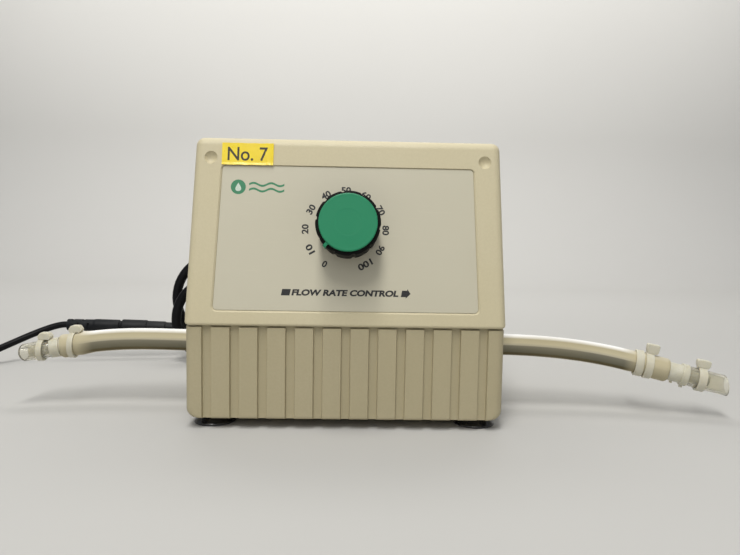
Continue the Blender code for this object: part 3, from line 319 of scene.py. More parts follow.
def lathe(profile, segments):
    """A solid turned about Z from (radius, height) points, as a ring unless it starts on the axis."""
    on_axis = profile[0][0] < 1e-9
    return loft([circle(r, h, segments) for r, h in profile], loop=not on_axis)


def turned(profile, radius, segments):
    """A turned solid in millimetres, its edges rounded."""
    on_axis = profile[0][0] == 0
    return lathe(soften(millimetres(profile), radius * MM, closed=not on_axis), segments)


def cylinder(radius, low, high, segments=32):
    return loft([circle(radius, low, segments), circle(radius, high, segments)])


def prism(outline, low, high):
    return loft([[(x, y, low) for x, y in outline], [(x, y, high) for x, y in outline]])


def block(low, high):
    bm = bmesh.new()
    bmesh.ops.create_cube(bm, size=1.0)
    for vert in bm.verts:
        vert.co = [blend(low[axis], high[axis], vert.co[axis] + 0.5) for axis in range(3)]
    return bm


def bevelled(bm, edges, width, segments):
    bmesh.ops.recalc_face_normals(bm, faces=bm.faces)
    bmesh.ops.bevel(bm, geom=edges, offset=width, segments=segments, profile=0.5, affect="EDGES")
    return bm


def moved(bm, offset):
    bmesh.ops.translate(bm, verts=bm.verts, vec=offset)
    return bm


def placed(bm, matrix):
    bmesh.ops.transform(bm, matrix=matrix, verts=bm.verts)
    return bm


def merged(shapes):
    """Several separate bmeshes as one."""
    whole = bmesh.new()
    for shape in shapes:
        mesh = bpy.data.meshes.new("merge")
        shape.to_mesh(mesh)
        shape.free()
        whole.from_mesh(mesh)
        bpy.data.meshes.remove(mesh)
    return whole


def aimed(origin, way):
    """The matrix that stands a shape turned about Z at a point, with Z along a direction."""
    return Matrix.Translation(origin) @ way.to_track_quat("Z", "Y").to_matrix().to_4x4()


def tangents(path):
    ways = []
    for i in range(len(path)):
        before = path[max(i - 1, 0)]
        after = path[min(i + 1, len(path) - 1)]
        ways.append((after - before).normalized())
    return ways


def sweep(path, radius, segments):
    """A round solid along a path, with a section that doesn't twist and softly rounded ends."""
    ways = tangents(path)
    side = ways[0].orthogonal().normalized()
    rings = []
    last = len(path) - 1
    for i, (point, way) in enumerate(zip(path, ways)):
        side = (side - way * side.dot(way)).normalized()
        up = way.cross(side)
        reach = radius * (0.93 if i in (0, last) else 1.0)
        rings.append([
            point + side * reach * math.cos(a) + up * reach * math.sin(a)
            for a in (2 * math.pi * i / segments for i in range(segments))
        ])
    return loft(rings)


def solid(name, bm):
    bmesh.ops.recalc_face_normals(bm, faces=bm.faces)
    mesh = bpy.data.meshes.new(name)
    bm.to_mesh(mesh)
    bm.free()
    obj = bpy.data.objects.new(name, mesh)
    bpy.context.scene.collection.objects.link(obj)
    return obj


def combine(obj, bm, operation):
    """Cuts the bmesh's shape from an object, or joins it on, and keeps the result as its mesh."""
    helper = solid("helper", bm)
    modifier = obj.modifiers.new("combine", "BOOLEAN")
    modifier.object = helper
    modifier.operation = operation
    modifier.solver = "EXACT"
    graph = bpy.context.evaluated_depsgraph_get()
    mesh = bpy.data.meshes.new_from_object(obj.evaluated_get(graph))
    obj.modifiers.clear()
    obj.data = mesh
    bpy.data.objects.remove(helper, do_unlink=True)


def cut(obj, bm):
    combine(obj, bm, "DIFFERENCE")


def join(obj, bm):
    combine(obj, bm, "UNION")


def dress(obj, look, node=None, smooth=35, weighted=False, body="case"):
    """Gives a finished piece its shading, its look and its place in the frame."""
    obj.data.shade_smooth()
    obj.data.set_sharp_from_angle(angle=math.radians(smooth))
    if weighted:
        modifier = obj.modifiers.new("weighted normals", "WEIGHTED_NORMAL")
        modifier.keep_sharp = True
    obj.data.materials.clear()
    obj.data.materials.append(LOOKS[look])
    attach(obj, body)
    if node:
        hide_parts(node)


# ---------------------------------------------------------------- materials


class Look:
    """A Principled material and the node chains that are built onto it."""

    def __init__(self, name, roughness, metallic=0.0):
        self.made = bpy.data.materials.new(name)
        self.made.use_nodes = True
        self.tree = self.made.node_tree
        self.shader = self.tree.nodes["Principled BSDF"]
        self.set("Roughness", roughness)
        self.set("Metallic", metallic)
        self.where = self.node("ShaderNodeTexCoord").outputs["Object"]

    def set(self, name, value):
        self.shader.inputs[name].default_value = value

    def node(self, kind, **values):
        made = self.tree.nodes.new(kind)
        for name, value in values.items():
            setattr(made, name, value)
        return made

    def link(self, source, target):
        self.tree.links.new(source, target)

    def noise(self, scale, detail, stretch=(1, 1, 1)):
        mapping = self.node("ShaderNodeMapping")
        mapping.inputs["Scale"].default_value = stretch
        self.link(self.where, mapping.inputs["Vector"])
        texture = self.node("ShaderNodeTexNoise")
        texture.inputs["Scale"].default_value = scale
        texture.inputs["Detail"].default_value = detail
        self.link(mapping.outputs["Vector"], texture.inputs["Vector"])
        return texture.outputs["Fac"]

    def ranged(self, source, low, high, out_low, out_high):
        mapped = self.node("ShaderNodeMapRange")
        ends = {"From Min": low, "From Max": high, "To Min": out_low, "To Max": out_high}
        for name, value in ends.items():
            mapped.inputs[name].default_value = value
        self.link(source, mapped.inputs["Value"])
        return mapped.outputs["Result"]

    def cloudy(self, scale, detail, found, wanted=(0.0, 1.0), stretch=(1, 1, 1)):
        """Noise with the range in which it is found stretched to the range that is wanted."""
        return self.ranged(self.noise(scale, detail, stretch), *found, *wanted)

    def mixed(self, share, first, second):
        """A colour between two colours or sockets."""
        mix = self.node("ShaderNodeMix", data_type="RGBA")
        self.link(share, mix.inputs[0])
        for socket, value in ((mix.inputs[6], first), (mix.inputs[7], second)):
            if isinstance(value, tuple):
                socket.default_value = (*value, 1.0)
            else:
                self.link(value, socket)
        return mix.outputs[2]

    def colour(self, source):
        self.link(source, self.shader.inputs["Base Color"])

    def rough(self, scale, detail, low, high, stretch=(1, 1, 1)):
        """Roughness that wanders between a low and a high."""
        source = self.cloudy(scale, detail, (0.3, 0.7), (low, high), stretch)
        self.link(source, self.shader.inputs["Roughness"])

    def bump(self, height, distance, strength):
        """Adds a bump to any that the shader has already."""
        made = self.node("ShaderNodeBump")
        made.inputs["Distance"].default_value = distance
        made.inputs["Strength"].default_value = strength
        self.link(height, made.inputs["Height"])
        target = self.shader.inputs["Normal"]
        if target.is_linked:
            self.link(target.links[0].from_socket, made.inputs["Normal"])
        self.link(made.outputs["Normal"], target)

    def grain(self, scale, detail, depth, strength, stretch=(1, 1, 1)):
        """A bump from noise, its depth in millimetres."""
        self.bump(self.noise(scale, detail, stretch), depth * MM, strength)

    def crevice_shade_and_dust(self, distance, low, high, most):
        """A share for painted shade and dust: near its most in corners and seams, and 0 in the open."""
        found = self.node("ShaderNodeAmbientOcclusion", samples=6)
        found.inputs["Distance"].default_value = distance
        return self.ranged(found.outputs["AO"], low, high, most, 0.0)


def moulded(name, colour, shade, roughness, grain=0.02, shade_and_dirt=None, speck=0.35, shine=0.42):
    """Injection-moulded plastic: a fine eroded grain, slow yellowing, and dust and painted shade in the corners.
    """
    look = Look(name, roughness)
    slow = look.cloudy(14, 3, (0.35, 0.65))
    tone = look.mixed(slow, colour, shade)
    fine = look.cloudy(900, 2, (0.35, 0.65), (0.0, speck))
    tone = look.mixed(fine, tone, tuple(0.93 * c for c in shade))
    # Painted shade and dust: the colour goes darker where ambient occlusion finds corners and seams.
    if shade_and_dirt:
        tone = look.mixed(look.crevice_shade_and_dust(1.6 * MM, 0.05, 0.5, 0.2), tone, shade_and_dirt)
    look.colour(tone)
    look.rough(60, 4, roughness - 0.06, roughness + 0.08)
    look.grain(2600, 3, grain, 0.6)
    look.grain(110, 2, 0.02, 0.5)
    look.set("Specular IOR Level", shine)
    return look.made


def film():
    """The printed panel film: matt, with a faint orange-peel and a few scuffs."""
    look = Look("panel film", 0.42)
    tone = look.mixed(look.cloudy(9, 2, (0.35, 0.65)), FILM_COLOUR, FILM_SHADE)
    scuffs = look.cloudy(60, 5, (0.62, 0.72), (0.0, 0.25), (1, 9, 9))
    look.colour(look.mixed(scuffs, tone, tuple(1.08 * c for c in FILM_COLOUR)))
    look.rough(90, 5, 0.36, 0.5)
    look.grain(1700, 2, 0.008, 0.6)
    return look.made


def ink(name, colour, roughness=0.45):
    look = Look(name, roughness)
    worn = tuple(c * 0.7 + 0.02 for c in colour)
    look.colour(look.mixed(look.cloudy(1500, 3, (0.35, 0.75)), colour, worn))
    look.grain(2500, 2, 0.006, 0.5)
    return look.made


def tape_look():
    """Glossy adhesive tape with soft creases."""
    look = Look("yellow tape", 0.3)
    look.colour(look.mixed(look.cloudy(120, 3, (0.3, 0.7)), TAPE_COLOUR, TAPE_SHADE))
    look.rough(200, 3, 0.25, 0.4)
    look.grain(160, 2, 0.18, 0.5, (2.4, 0.5, 0.8))
    look.grain(1400, 2, 0.006, 0.5)
    look.set("Coat Weight", 0.25)
    look.set("Coat Roughness", 0.2)
    return look.made


def rubber(name, colour, roughness, dust, coat, shine=0.5):
    look = Look(name, roughness)
    dusty = look.cloudy(70, 5, (0.45, 0.75), (0.0, dust))
    look.colour(look.mixed(dusty, colour, tuple(c + 0.05 for c in colour)))
    look.rough(140, 4, roughness - 0.07, roughness + 0.1)
    look.grain(1500, 3, 0.015, 0.5)
    look.set("Coat Weight", coat)
    look.set("Coat Roughness", 0.25)
    look.set("Specular IOR Level", shine)
    return look.made


def clear(name, colour, shade, roughness, transmission, index, cloud):
    """Soft clear tubing: see-through, tinted, and clouded in patches where it has aged."""
    look = Look(name, roughness)
    patches = look.cloudy(45, 4, (0.35, 0.7), stretch=(0.35, 1, 1))
    look.colour(look.mixed(patches, colour, shade))
    look.link(
        look.cloudy(60, 3, (0.3, 0.7), (transmission, transmission - cloud), (0.3, 1, 1)),
        look.shader.inputs["Transmission Weight"],
    )
    look.rough(300, 3, roughness, roughness + 0.08)
    look.grain(220, 2, 0.03, 0.4, (0.2, 1, 1))
    look.set("IOR", index)
    return look.made


# Painted light and shade on the tube: its colour by the way its skin faces, from straight down at 0 to straight up
# at 1, with a painted highlight along its very bottom, painted shade over its lower half, pale painted light on
# its upper sides and a dimmer top
TUBE_PAINTED_SHADING = (
    (0.0, (0.72, 0.64, 0.40)),
    (0.06, (0.68, 0.60, 0.37)),
    (0.085, (0.105, 0.08, 0.035)),
    (0.17, (0.12, 0.10, 0.05)),
    (0.25, (0.185, 0.175, 0.125)),
    (0.50, (0.20, 0.19, 0.145)),
    (0.545, (0.22, 0.205, 0.155)),
    (0.575, (0.47, 0.43, 0.325)),
    (0.68, (0.53, 0.475, 0.32)),
    (0.85, (0.40, 0.355, 0.235)),
    (1.0, (0.25, 0.225, 0.145)),
)

# Where the barbs inside the tube's ends cloud it most, and where it is its own colour again
TUBE_BARBS = ((-157 * MM, -149 * MM), (171 * MM, 163 * MM))
TUBE_CLOUD = (0.50, 0.445, 0.30)


def aged_tube_with_painted_shading(name, roughness, index):
    """Soft tubing gone cloudy and stained in patches, with painted light and shade: pale above, painted shade
    below and a painted highlight along its very bottom.
    """
    look = Look(name, roughness)
    facing = look.node("ShaderNodeSeparateXYZ")
    look.link(look.node("ShaderNodeNewGeometry").outputs["Normal"], facing.inputs[0])
    # Painted light and shade: the colour is picked by how far the skin faces up or down.
    ramp = look.node("ShaderNodeValToRGB")
    first, last = ramp.color_ramp.elements
    for place, tone in TUBE_PAINTED_SHADING[1:-1]:
        ramp.color_ramp.elements.new(place).color = (*tone, 1.0)
    first.color = (*TUBE_PAINTED_SHADING[0][1], 1.0)
    last.color = (*TUBE_PAINTED_SHADING[-1][1], 1.0)
    look.link(look.ranged(facing.outputs["Z"], -1.0, 1.0, 0.0, 1.0), ramp.inputs[0])
    patches = look.cloudy(40, 4, (0.4, 0.75), (0.0, 0.3), (0.35, 1, 1))
    tone = look.mixed(patches, ramp.outputs["Color"], (0.33, 0.28, 0.16))
    place = look.node("ShaderNodeSeparateXYZ")
    look.link(look.node("ShaderNodeNewGeometry").outputs["Position"], place.inputs[0])
    for clouded, open_to_light in TUBE_BARBS:
        share = look.ranged(place.outputs["X"], clouded, open_to_light, 0.85, 0.0)
        tone = look.mixed(share, tone, TUBE_CLOUD)
    look.colour(tone)
    look.rough(300, 3, roughness, roughness + 0.08)
    look.grain(220, 2, 0.03, 0.4, (0.2, 1, 1))
    look.set("IOR", index)
    look.set("Specular IOR Level", 0.08)
    return look.made


def milky(name, colour, shade, roughness, depth):
    """Natural nylon: light goes in and scatters."""
    look = Look(name, roughness)
    look.colour(look.mixed(look.cloudy(180, 4, (0.3, 0.7)), colour, shade))
    look.rough(400, 3, roughness - 0.05, roughness + 0.08)
    look.grain(1200, 2, 0.01, 0.5)
    look.set("Subsurface Weight", 0.6)
    look.set("Subsurface Radius", (depth, depth * 0.9, depth * 0.7))
    look.set("Subsurface Scale", 1.0)
    return look.made


def metal(name, colour, roughness, stretch):
    """Machined metal with fine lines and a little tarnish."""
    look = Look(name, roughness, 1.0)
    tarnish = look.cloudy(90, 5, (0.4, 0.75), (0.0, 0.5))
    look.colour(look.mixed(tarnish, colour, tuple(0.72 * c for c in colour)))
    look.rough(500, 4, roughness - 0.1, roughness + 0.15, stretch)
    look.grain(900, 4, 0.01, 0.6, stretch)
    return look.made


def board_look():
    """Green solder mask over copper tracks."""
    look = Look("circuit board", 0.35)
    tracks = look.node("ShaderNodeTexBrick")
    tracks.inputs["Scale"].default_value = 300
    tracks.inputs["Mortar Size"].default_value = 0.12
    look.link(look.where, tracks.inputs["Vector"])
    lines = look.ranged(tracks.outputs["Fac"], 0, 1, 0, 0.7)
    look.colour(look.mixed(lines, (0.015, 0.11, 0.045), (0.05, 0.27, 0.11)))
    look.bump(tracks.outputs["Fac"], 0.035 * MM, 0.7)
    look.set("Coat Weight", 0.4)
    return look.made


CASE_COLOUR = (0.585, 0.525, 0.358)
CASE_SHADE = (0.57, 0.507, 0.335)
# The base is the cover's plastic painted darker: painted shade for the lower part of the case.
BASE_COLOUR_IN_PAINTED_SHADE = (0.45, 0.394, 0.255)
BASE_SHADE_IN_PAINTED_SHADE = (0.435, 0.38, 0.24)
# Painted shade and dust, darkening the case's corners and seams
CASE_CREVICE_SHADE_AND_DIRT = (0.19, 0.155, 0.095)
FILM_COLOUR = (0.55, 0.518, 0.405)
FILM_SHADE = (0.535, 0.503, 0.388)
TAPE_COLOUR = (0.88, 0.68, 0.02)
TAPE_SHADE = (0.82, 0.61, 0.015)

LOOKS = {
    "cover": moulded("cover plastic", CASE_COLOUR, CASE_SHADE, 0.48, shade_and_dirt=CASE_CREVICE_SHADE_AND_DIRT),
    "base": moulded("base plastic in painted shade", BASE_COLOUR_IN_PAINTED_SHADE, BASE_SHADE_IN_PAINTED_SHADE, 0.5, shade_and_dirt=CASE_CREVICE_SHADE_AND_DIRT),
    "film": film(),
    "ink": ink("dial ink", (0.012, 0.012, 0.013)),
    "badge": ink("badge green", (0.035, 0.24, 0.11), 0.4),
    "badge_mark": ink("badge mark", (0.62, 0.72, 0.62), 0.4),
    "tape": tape_look(),
    "tape_ink": ink("tape ink", (0.03, 0.022, 0.008), 0.35),
    "knob": moulded(
        "knob plastic", (0.006, 0.0065, 0.0065), (0.010, 0.011, 0.010), 0.5, 0.03, speck=0.2, shine=0.06
    ),
    "cap": moulded(
        "cap plastic", (0.015, 0.222, 0.103), (0.018, 0.235, 0.112), 0.45, 0.012, speck=0.2, shine=0.3
    ),
    "feet": rubber("foot rubber", (0.007, 0.007, 0.008), 0.25, 0.25, 0.4),
    "cord": rubber("cord jacket", (0.005, 0.005, 0.006), 0.4, 0.04, 0.0, 0.12),
    "connector": rubber("connector plastic", (0.007, 0.008, 0.010), 0.5, 0.2, 0.0, 0.2),
    "tube": aged_tube_with_painted_shading("amber tubing", 0.34, 1.4),
    "end_tube": clear("clear tubing", (0.90, 0.88, 0.78), (0.86, 0.83, 0.71), 0.08, 0.95, 1.45, 0.2),
    "coupler": milky("coupler nylon", (0.60, 0.58, 0.48), (0.54, 0.515, 0.405), 0.3, 2 * MM),
    "tie": milky("tie nylon", (0.61, 0.585, 0.48), (0.57, 0.54, 0.43), 0.36, 1.5 * MM),
    "steel": metal("steel", (0.56, 0.56, 0.57), 0.32, (1, 1, 12)),
    "aluminium": metal("aluminium", (0.74, 0.74, 0.76), 0.38, (1, 10, 1)),
    "brass": metal("brass", (0.78, 0.58, 0.26), 0.28, (1, 1, 12)),
    "board": board_look(),
    "blue": moulded("blue plastic", (0.03, 0.08, 0.32), (0.025, 0.07, 0.27), 0.4, 0.01),
    "black": moulded("black plastic", (0.016, 0.016, 0.018), (0.022, 0.022, 0.024), 0.45, 0.02),
    "pale_nylon": milky("pale nylon", (0.68, 0.64, 0.50), (0.62, 0.58, 0.44), 0.42, 1.0 * MM),
    "white_nylon": milky("white nylon", (0.78, 0.77, 0.70), (0.73, 0.72, 0.64), 0.38, 1.0 * MM),
}

# The nodes that keep the frame's own mesh, by the look that they are given
KEPT_NODES = {
    "steel": ["pot_body", "pot_nut", "motor_can", "motor_shaft", "rotor_shaft",
              "roller_pin_1", "roller_pin_2", "roller_pin_3"],
    "aluminium": ["pot_shaft", "motor_bracket", "heat_sink"],
    "brass": ["knob_collet", "drive_pinion", "shaft_bush_front", "shaft_bush_rear"],
    "board": ["control_board"],
    "blue": ["filter_capacitor", "terminal_block"],
    "cord": ["motor_lead"],
    "black": ["pump_bed"],
    "pale_nylon": ["head_cover", "rotor_hub", "rotor_front_plate"],
    "white_nylon": ["roller_1", "roller_2", "roller_3", "drive_gear"],
}


def kept_nodes():
    for key, names in KEPT_NODES.items():
        for name in names:
            mesh = frame["nodes"][name].data
            mesh.materials.clear()
            mesh.materials.append(LOOKS[key])


# ---------------------------------------------------------------- places from the frame


def joint(name):
    return next(found for found in frame["joints"] if found["name"] == name)


def mount(name):
    return next(found for found in frame["record"]["mounts"] if found["name"] == name)


def middle_of(node):
    low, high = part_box(node)
    return (low + high) / 2


def foot_place(name):
    middle = middle_of(name)
    return (middle.x, middle.y, 0)


KNOB_PLACE = Vector(joint("knob_turn")["pos_m"])
KNOB_WAY = -Vector(joint("knob_turn")["axis"])
PANEL_ANGLE = math.asin(KNOB_WAY.z)
PANEL = Matrix.Translation(KNOB_PLACE) @ Matrix.Rotation(math.radians(90) - PANEL_ANGLE, 4, "X")
ROTOR_PLACE = Vector(joint("rotor_spin")["pos_m"])
COVER_LOW, COVER_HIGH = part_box("top_cover")
BASE_LOW, BASE_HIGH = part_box("base_tray")


def tube_end(name, reach, radius):
    """Where a pump tube stops and the way it points, from the mount on its end tube's rim."""
    found = mount(name)
    way = Vector(found["axis"]).normalized()
    up = Vector((0, 0, 1))
    up = (up - way * up.dot(way)).normalized()
    return Vector(found["pos_m"]) - way * reach - up * radius, way


LEFT_END, LEFT_WAY = tube_end("left_tube_end", LEFT_REACH, LEFT_END_RADIUS - END_TUBE_WALL / 2)
RIGHT_END, RIGHT_WAY = tube_end("right_tube_end", RIGHT_REACH, RIGHT_END_RADIUS - END_TUBE_WALL / 2)


# ---------------------------------------------------------------- case


def panel_y(height):
    return KNOB_PLACE.y + (height - KNOB_PLACE.z) * math.tan(PANEL_ANGLE)


def cover_block(low, high, inset, front_inset):
    """A tapered block with the cover's outline, pulled in from it."""
    levels = []
    for height in (low, high):
        share = (height - COVER_LOW.z) / (COVER_HIGH.z - COVER_LOW.z)
        half = COVER_HIGH.x - COVER_TAPER * share - inset
        front = panel_y(height) + front_inset
        back = COVER_HIGH.y - inset
        levels.append(
            [(-half, front, height), (half, front, height), (half, back, height), (-half, back, height)]
        )
    return loft(levels)


def edges_above(bm, height):
    return [edge for edge in bm.edges if max(vert.co.z for vert in edge.verts) > height + 0.1 * MM]


def edges_at(bm, height):
    return [edge for edge in bm.edges if all(abs(vert.co.z - height) < 0.01 * MM for vert in edge.verts)]


def recess_outline(margin):
    low = RECESS_LOW - margin
    high = RECESS_HIGH + min(margin, 0.3 * MM)
    low_half = RECESS_LOW_HALF_WIDTH + margin
    high_half = RECESS_HIGH_HALF_WIDTH + margin
    radius = RECESS_CORNER + margin
    corners = ((high_half, high), (-high_half, high), (-low_half, low), (low_half, low))
    middles = [
        (x - math.copysign(radius, x) - KNOB_PLACE.x, y - math.copysign(radius, y)) for x, y in corners
    ]
    return rounded(middles, radius)


def recess_solid(levels):
    """A solid on the panel through the recess's outline at (height, margin) levels."""
    rings = [[(x, y, height) for x, y in recess_outline(margin)] for height, margin in levels]
    return placed(loft(rings), PANEL)


def recess_cutter():
    """A pocket with sloping sides and a rolled edge."""
    levels = [(-1.2, -0.3), (-1.1, -0.1), (-0.75, 0), (-0.2, 0.62), (-0.05, 0.85), (0.02, 1.05), (4, 1.1)]
    return recess_solid(millimetres(levels))


def dimple_cutter(side):
    radius = (DIMPLE_RADIUS**2 + DIMPLE_DEPTH**2) / (2 * DIMPLE_DEPTH)
    bm = bmesh.new()
    bmesh.ops.create_uvsphere(bm, u_segments=48, v_segments=24, radius=radius)
    place = (side * DIMPLE_PLACE[0] - KNOB_PLACE.x, DIMPLE_PLACE[1], radius - DIMPLE_DEPTH)
    return placed(moved(bm, place), PANEL)


def corner_posts(radius, low, high):
    return merged(
        moved(cylinder(radius, low, high), (x * POST_PLACE[0], y * POST_PLACE[1], 0))
        for x in (-1, 1)
        for y in (-1, 1)
    )


def vent_slots():
    slots = []
    half, radius = VENT_SIZE[0] / 2, VENT_SIZE[1] / 2
    for i in range(VENT_COUNT):
        middle = VENT_MIDDLE + (i - (VENT_COUNT - 1) / 2) * VENT_PITCH
        outline = []
        for side in (1, -1):
            for step in range(9):
                angle = math.radians(-90 + 180 * step / 8)
                reach = (half - radius + radius * math.cos(angle)) * side
                outline.append((reach, middle + radius * math.sin(angle) * side))
        rings = [[(x, y, z) for x, z in outline] for y in (COVER_HIGH.y - 6 * MM, COVER_HIGH.y + MM)]
        slots.append(loft(rings))
    return merged(slots)


def top_cover():
    bm = cover_block(COVER_LOW.z, COVER_HIGH.z, 0, 0)
    bevelled(bm, edges_above(bm, COVER_LOW.z), COVER_EDGE, 10)
    bevelled(bm, edges_at(bm, COVER_LOW.z), COVER_FOOT_EDGE, 5)
    cover = solid("cover_shell", bm)
    below = COVER_LOW.z - 10 * MM
    inside = cover_block(below, COVER_HIGH.z - COVER_WALL, COVER_WALL, COVER_FRONT_WALL)
    cut(cover, bevelled(inside, edges_above(inside, below), 2.5 * MM, 4))
    side = BASE_HIGH.x - LIP_INSET + GAP
    cut(cover, block(
        (-side, LIP_FRONT - 0.4 * MM, below),
        (side, BASE_HIGH.y - LIP_INSET + GAP, SEAM + LIP_HEIGHT + GAP),
    ))
    join(cover, corner_posts(POST_RADIUS, *BOSS_HEIGHTS))
    cut(cover, corner_posts(SCREW_HOLE_RADIUS, BOSS_HEIGHTS[0] - MM, SCREW_HOLE_TOP))
    cut(cover, recess_cutter())
    for dimple_side in (-1, 1):
        cut(cover, dimple_cutter(dimple_side))
    cut(cover, placed(cylinder(POT_HOLE_RADIUS, -6 * MM, 2 * MM), PANEL))
    cut(cover, vent_slots())
    dress(cover, "cover", "top_cover", 30, weighted=True)


def groove_cutter(middle):
    """A groove with a little draft, rolled edges and a soft floor."""
    half = GROOVE_WIDTH / 2
    side = [
        (half + 0.45 * MM, 3 * MM),
        (half + 0.45 * MM, 0.03 * MM),
        (half + 0.18 * MM, -0.04 * MM),
        (half + 0.04 * MM, -0.16 * MM),
        (half, -0.4 * MM),
        (half - 0.2 * MM, 0.4 * MM - GROOVE_DEPTH),
        (half - 0.3 * MM, 0.12 * MM - GROOVE_DEPTH),
        (half - 0.6 * MM, -GROOVE_DEPTH),
    ]
    outline = [(middle + x, BASE_LOW.y - y) for x, y in side]
    outline += [(middle - x, BASE_LOW.y - y) for x, y in reversed(side)]
    return prism(outline, -MM, BASE_TOP + 0.15 * MM)


def rolled_under(height, radius):
    """How far a rounded lower edge stands in at a height above the underside."""
    if height >= radius:
        return 0.0
    return radius - math.sqrt(radius**2 - (radius - height) ** 2)


def tray_block():
    """The tray's outer block: its sides roll under widely, its front and back only a little."""
    rings = []
    heights = [BASE_EDGE * share for share in (0.0, 0.02, 0.07, 0.15, 0.25, 0.38, 0.53, 0.7, 0.86, 1.0)]
    for height in heights + [BASE_TOP]:
        half_x = BASE_HIGH.x - rolled_under(height, BASE_EDGE) - BASE_CORNER
        half_y = BASE_HIGH.y - rolled_under(height, BASE_FRONT_EDGE) - BASE_CORNER
        middles = ((half_x, half_y), (-half_x, half_y), (-half_x, -half_y), (half_x, -half_y))
        rings.append([(x, y, height) for x, y in rounded(middles, BASE_CORNER)])
    return loft(rings)


def base_tray():
    base = solid("base_shell", tray_block())
    side = BASE_HIGH.x - LIP_INSET
    join(base, block((-side, LIP_FRONT, 30 * MM), (side, BASE_HIGH.y - LIP_INSET, BASE_HIGH.z)))
    inner = BASE_HIGH.x - BASE_WALL
    cut(base, block(
        (-inner, BASE_LOW.y + BASE_FRONT_WALL, BASE_WALL),
        (inner, BASE_HIGH.y - BASE_WALL, 60 * MM),
    ))
    standoffs = [
        moved(cylinder(STANDOFF_RADIUS, MM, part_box("control_board")[0].z - GAP), (x, y, 0))
        for x in STANDOFF_XS
        for y in STANDOFF_YS
    ]
    join(base, merged([corner_posts(POST_RADIUS, MM, POST_TOP)] + standoffs))
    cut(base, corner_posts(COUNTERBORE_RADIUS, -MM, COUNTERBORE_TOP))
    cut(base, corner_posts(SCREW_HOLE_RADIUS, 30 * MM, 60 * MM))
    grooves = [
        groove_cutter((i - (GROOVE_COUNT - 1) / 2) * GROOVE_PITCH) for i in range(GROOVE_COUNT)
    ]
    cut(base, merged(grooves))
    tube_hole = placed(cylinder(TUBE_HOLE_RADIUS, -0.1, 0.1, 48), rotated(90, "Y"))
    cut(base, moved(tube_hole, (0, ROTOR_PLACE.y, ROTOR_PLACE.z - ENTRY_BEND_RADIUS)))
    for radius, top, segments in ((FOOT_HOLE_RADIUS, 5 * MM, 32), (FOOT_SEAT_RADIUS, FOOT_SEAT_DEPTH, 64)):
        holes = [moved(cylinder(radius, -MM, top, segments), foot_place(name)) for name in FOOT_NODES]
        cut(base, merged(holes))
    grip = middle_of("cord_grip")
    grip_hole = placed(cylinder(GRIP_HOLE_RADIUS, 60 * MM, 75 * MM), rotated(-90, "X"))
    cut(base, moved(grip_hole, (grip.x, 0, grip.z)))
    dress(base, "base", "base_tray", 30, weighted=True)


def feet():
    profile = [(0, -4.5), (7.6, -5.1), (8.4, -5.5), (11, -5.5), (11, -4.5), (9.4, -3.0), (8.3, -1.6),
               (7.2, 0.2), (2.5, 0.2), (2.5, 2.8), (3.3, 2.8), (2.5, 5.0), (0, 5.0)]
    for name in FOOT_NODES:
        foot = solid(f"rubber_{name}", turned(profile, 0.5, 64))
        foot.location = foot_place(name)
        dress(foot, "feet", name)


def pan_screw(name):
    """A pan-head screw with a cross recess, in the place and size of its node."""
    low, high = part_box(name)
    along = max(range(3), key=lambda axis: high[axis] - low[axis])
    middle = (low + high) / 2
    length = high[along] - low[along]
    way = Vector([1.0 if axis == along else 0.0 for axis in range(3)])
    head_first = name.startswith("case") or along == 1
    start = middle - way * length / 2 if head_first else middle + way * length / 2
    tip = length / MM
    profile = [
        (0, 0.1), (1.9, 0.25), (2.75, 0.9), (2.9, 2.2), (1.5, 2.2), (1.5, tip - 1.2), (0.5, tip), (0, tip),
    ]
    screw = solid(f"{name}_detail", turned(profile, 0.25, 32))
    for across, along_slot in ((0.3 * MM, 1.6 * MM), (1.6 * MM, 0.3 * MM)):
        cut(screw, block((-across, -along_slot, -MM), (across, along_slot, 1.1 * MM)))
    screw.matrix_world = aimed(start, way)
    dress(screw, "steel", name)


def screws():
    for corner in ("front_left", "front_right", "back_left", "back_right"):
        pan_screw(f"case_screw_{corner}")
    for side in ("left", "right"):
        pan_screw(f"head_screw_{side}")
        pan_screw(f"motor_screw_{side}")


# ---------------------------------------------------------------- panel


def lettering(text, size, weight):
    """A line of text as a thin solid, centred on its middle."""
    curve = bpy.data.curves.new("lettering", "FONT")
    curve.body = text
    curve.size = size
    curve.offset = weight
    curve.align_x = "CENTER"
    curve.align_y = "CENTER"
    curve.extrude = INK_THICKNESS / 2
    curve.resolution_u = 6
    holder = bpy.data.objects.new("lettering", curve)
    bpy.context.scene.collection.objects.link(holder)
    graph = bpy.context.evaluated_depsgraph_get()
    mesh = bpy.data.meshes.new_from_object(holder.evaluated_get(graph))
    bm = bmesh.new()
    bm.from_mesh(mesh)
    bmesh.ops.remove_doubles(bm, verts=bm.verts, dist=0.001 * MM)
    bpy.data.meshes.remove(mesh)
    bpy.data.objects.remove(holder, do_unlink=True)
    bpy.data.curves.remove(curve)
    return bm


def fitted(bm, width, height, lean=0.0):
    """Scales a flat shape about its middle to a width and a height, then leans it over."""
    xs = [vert.co.x for vert in bm.verts]
    ys = [vert.co.y for vert in bm.verts]
    low_x, high_x, low_y, high_y = min(xs), max(xs), min(ys), max(ys)
    for vert in bm.verts:
        rise = ((vert.co.y - low_y) / (high_y - low_y) - 0.5) * height
        vert.co.x = ((vert.co.x - low_x) / (high_x - low_x) - 0.5) * width + lean * rise
        vert.co.y = rise
    return bm


def panel_point(x, rise, height):
    """The matrix of a place across from the case's middle, up from the knob's axis, off the panel."""
    return Matrix.Translation((x - KNOB_PLACE.x, rise, height))


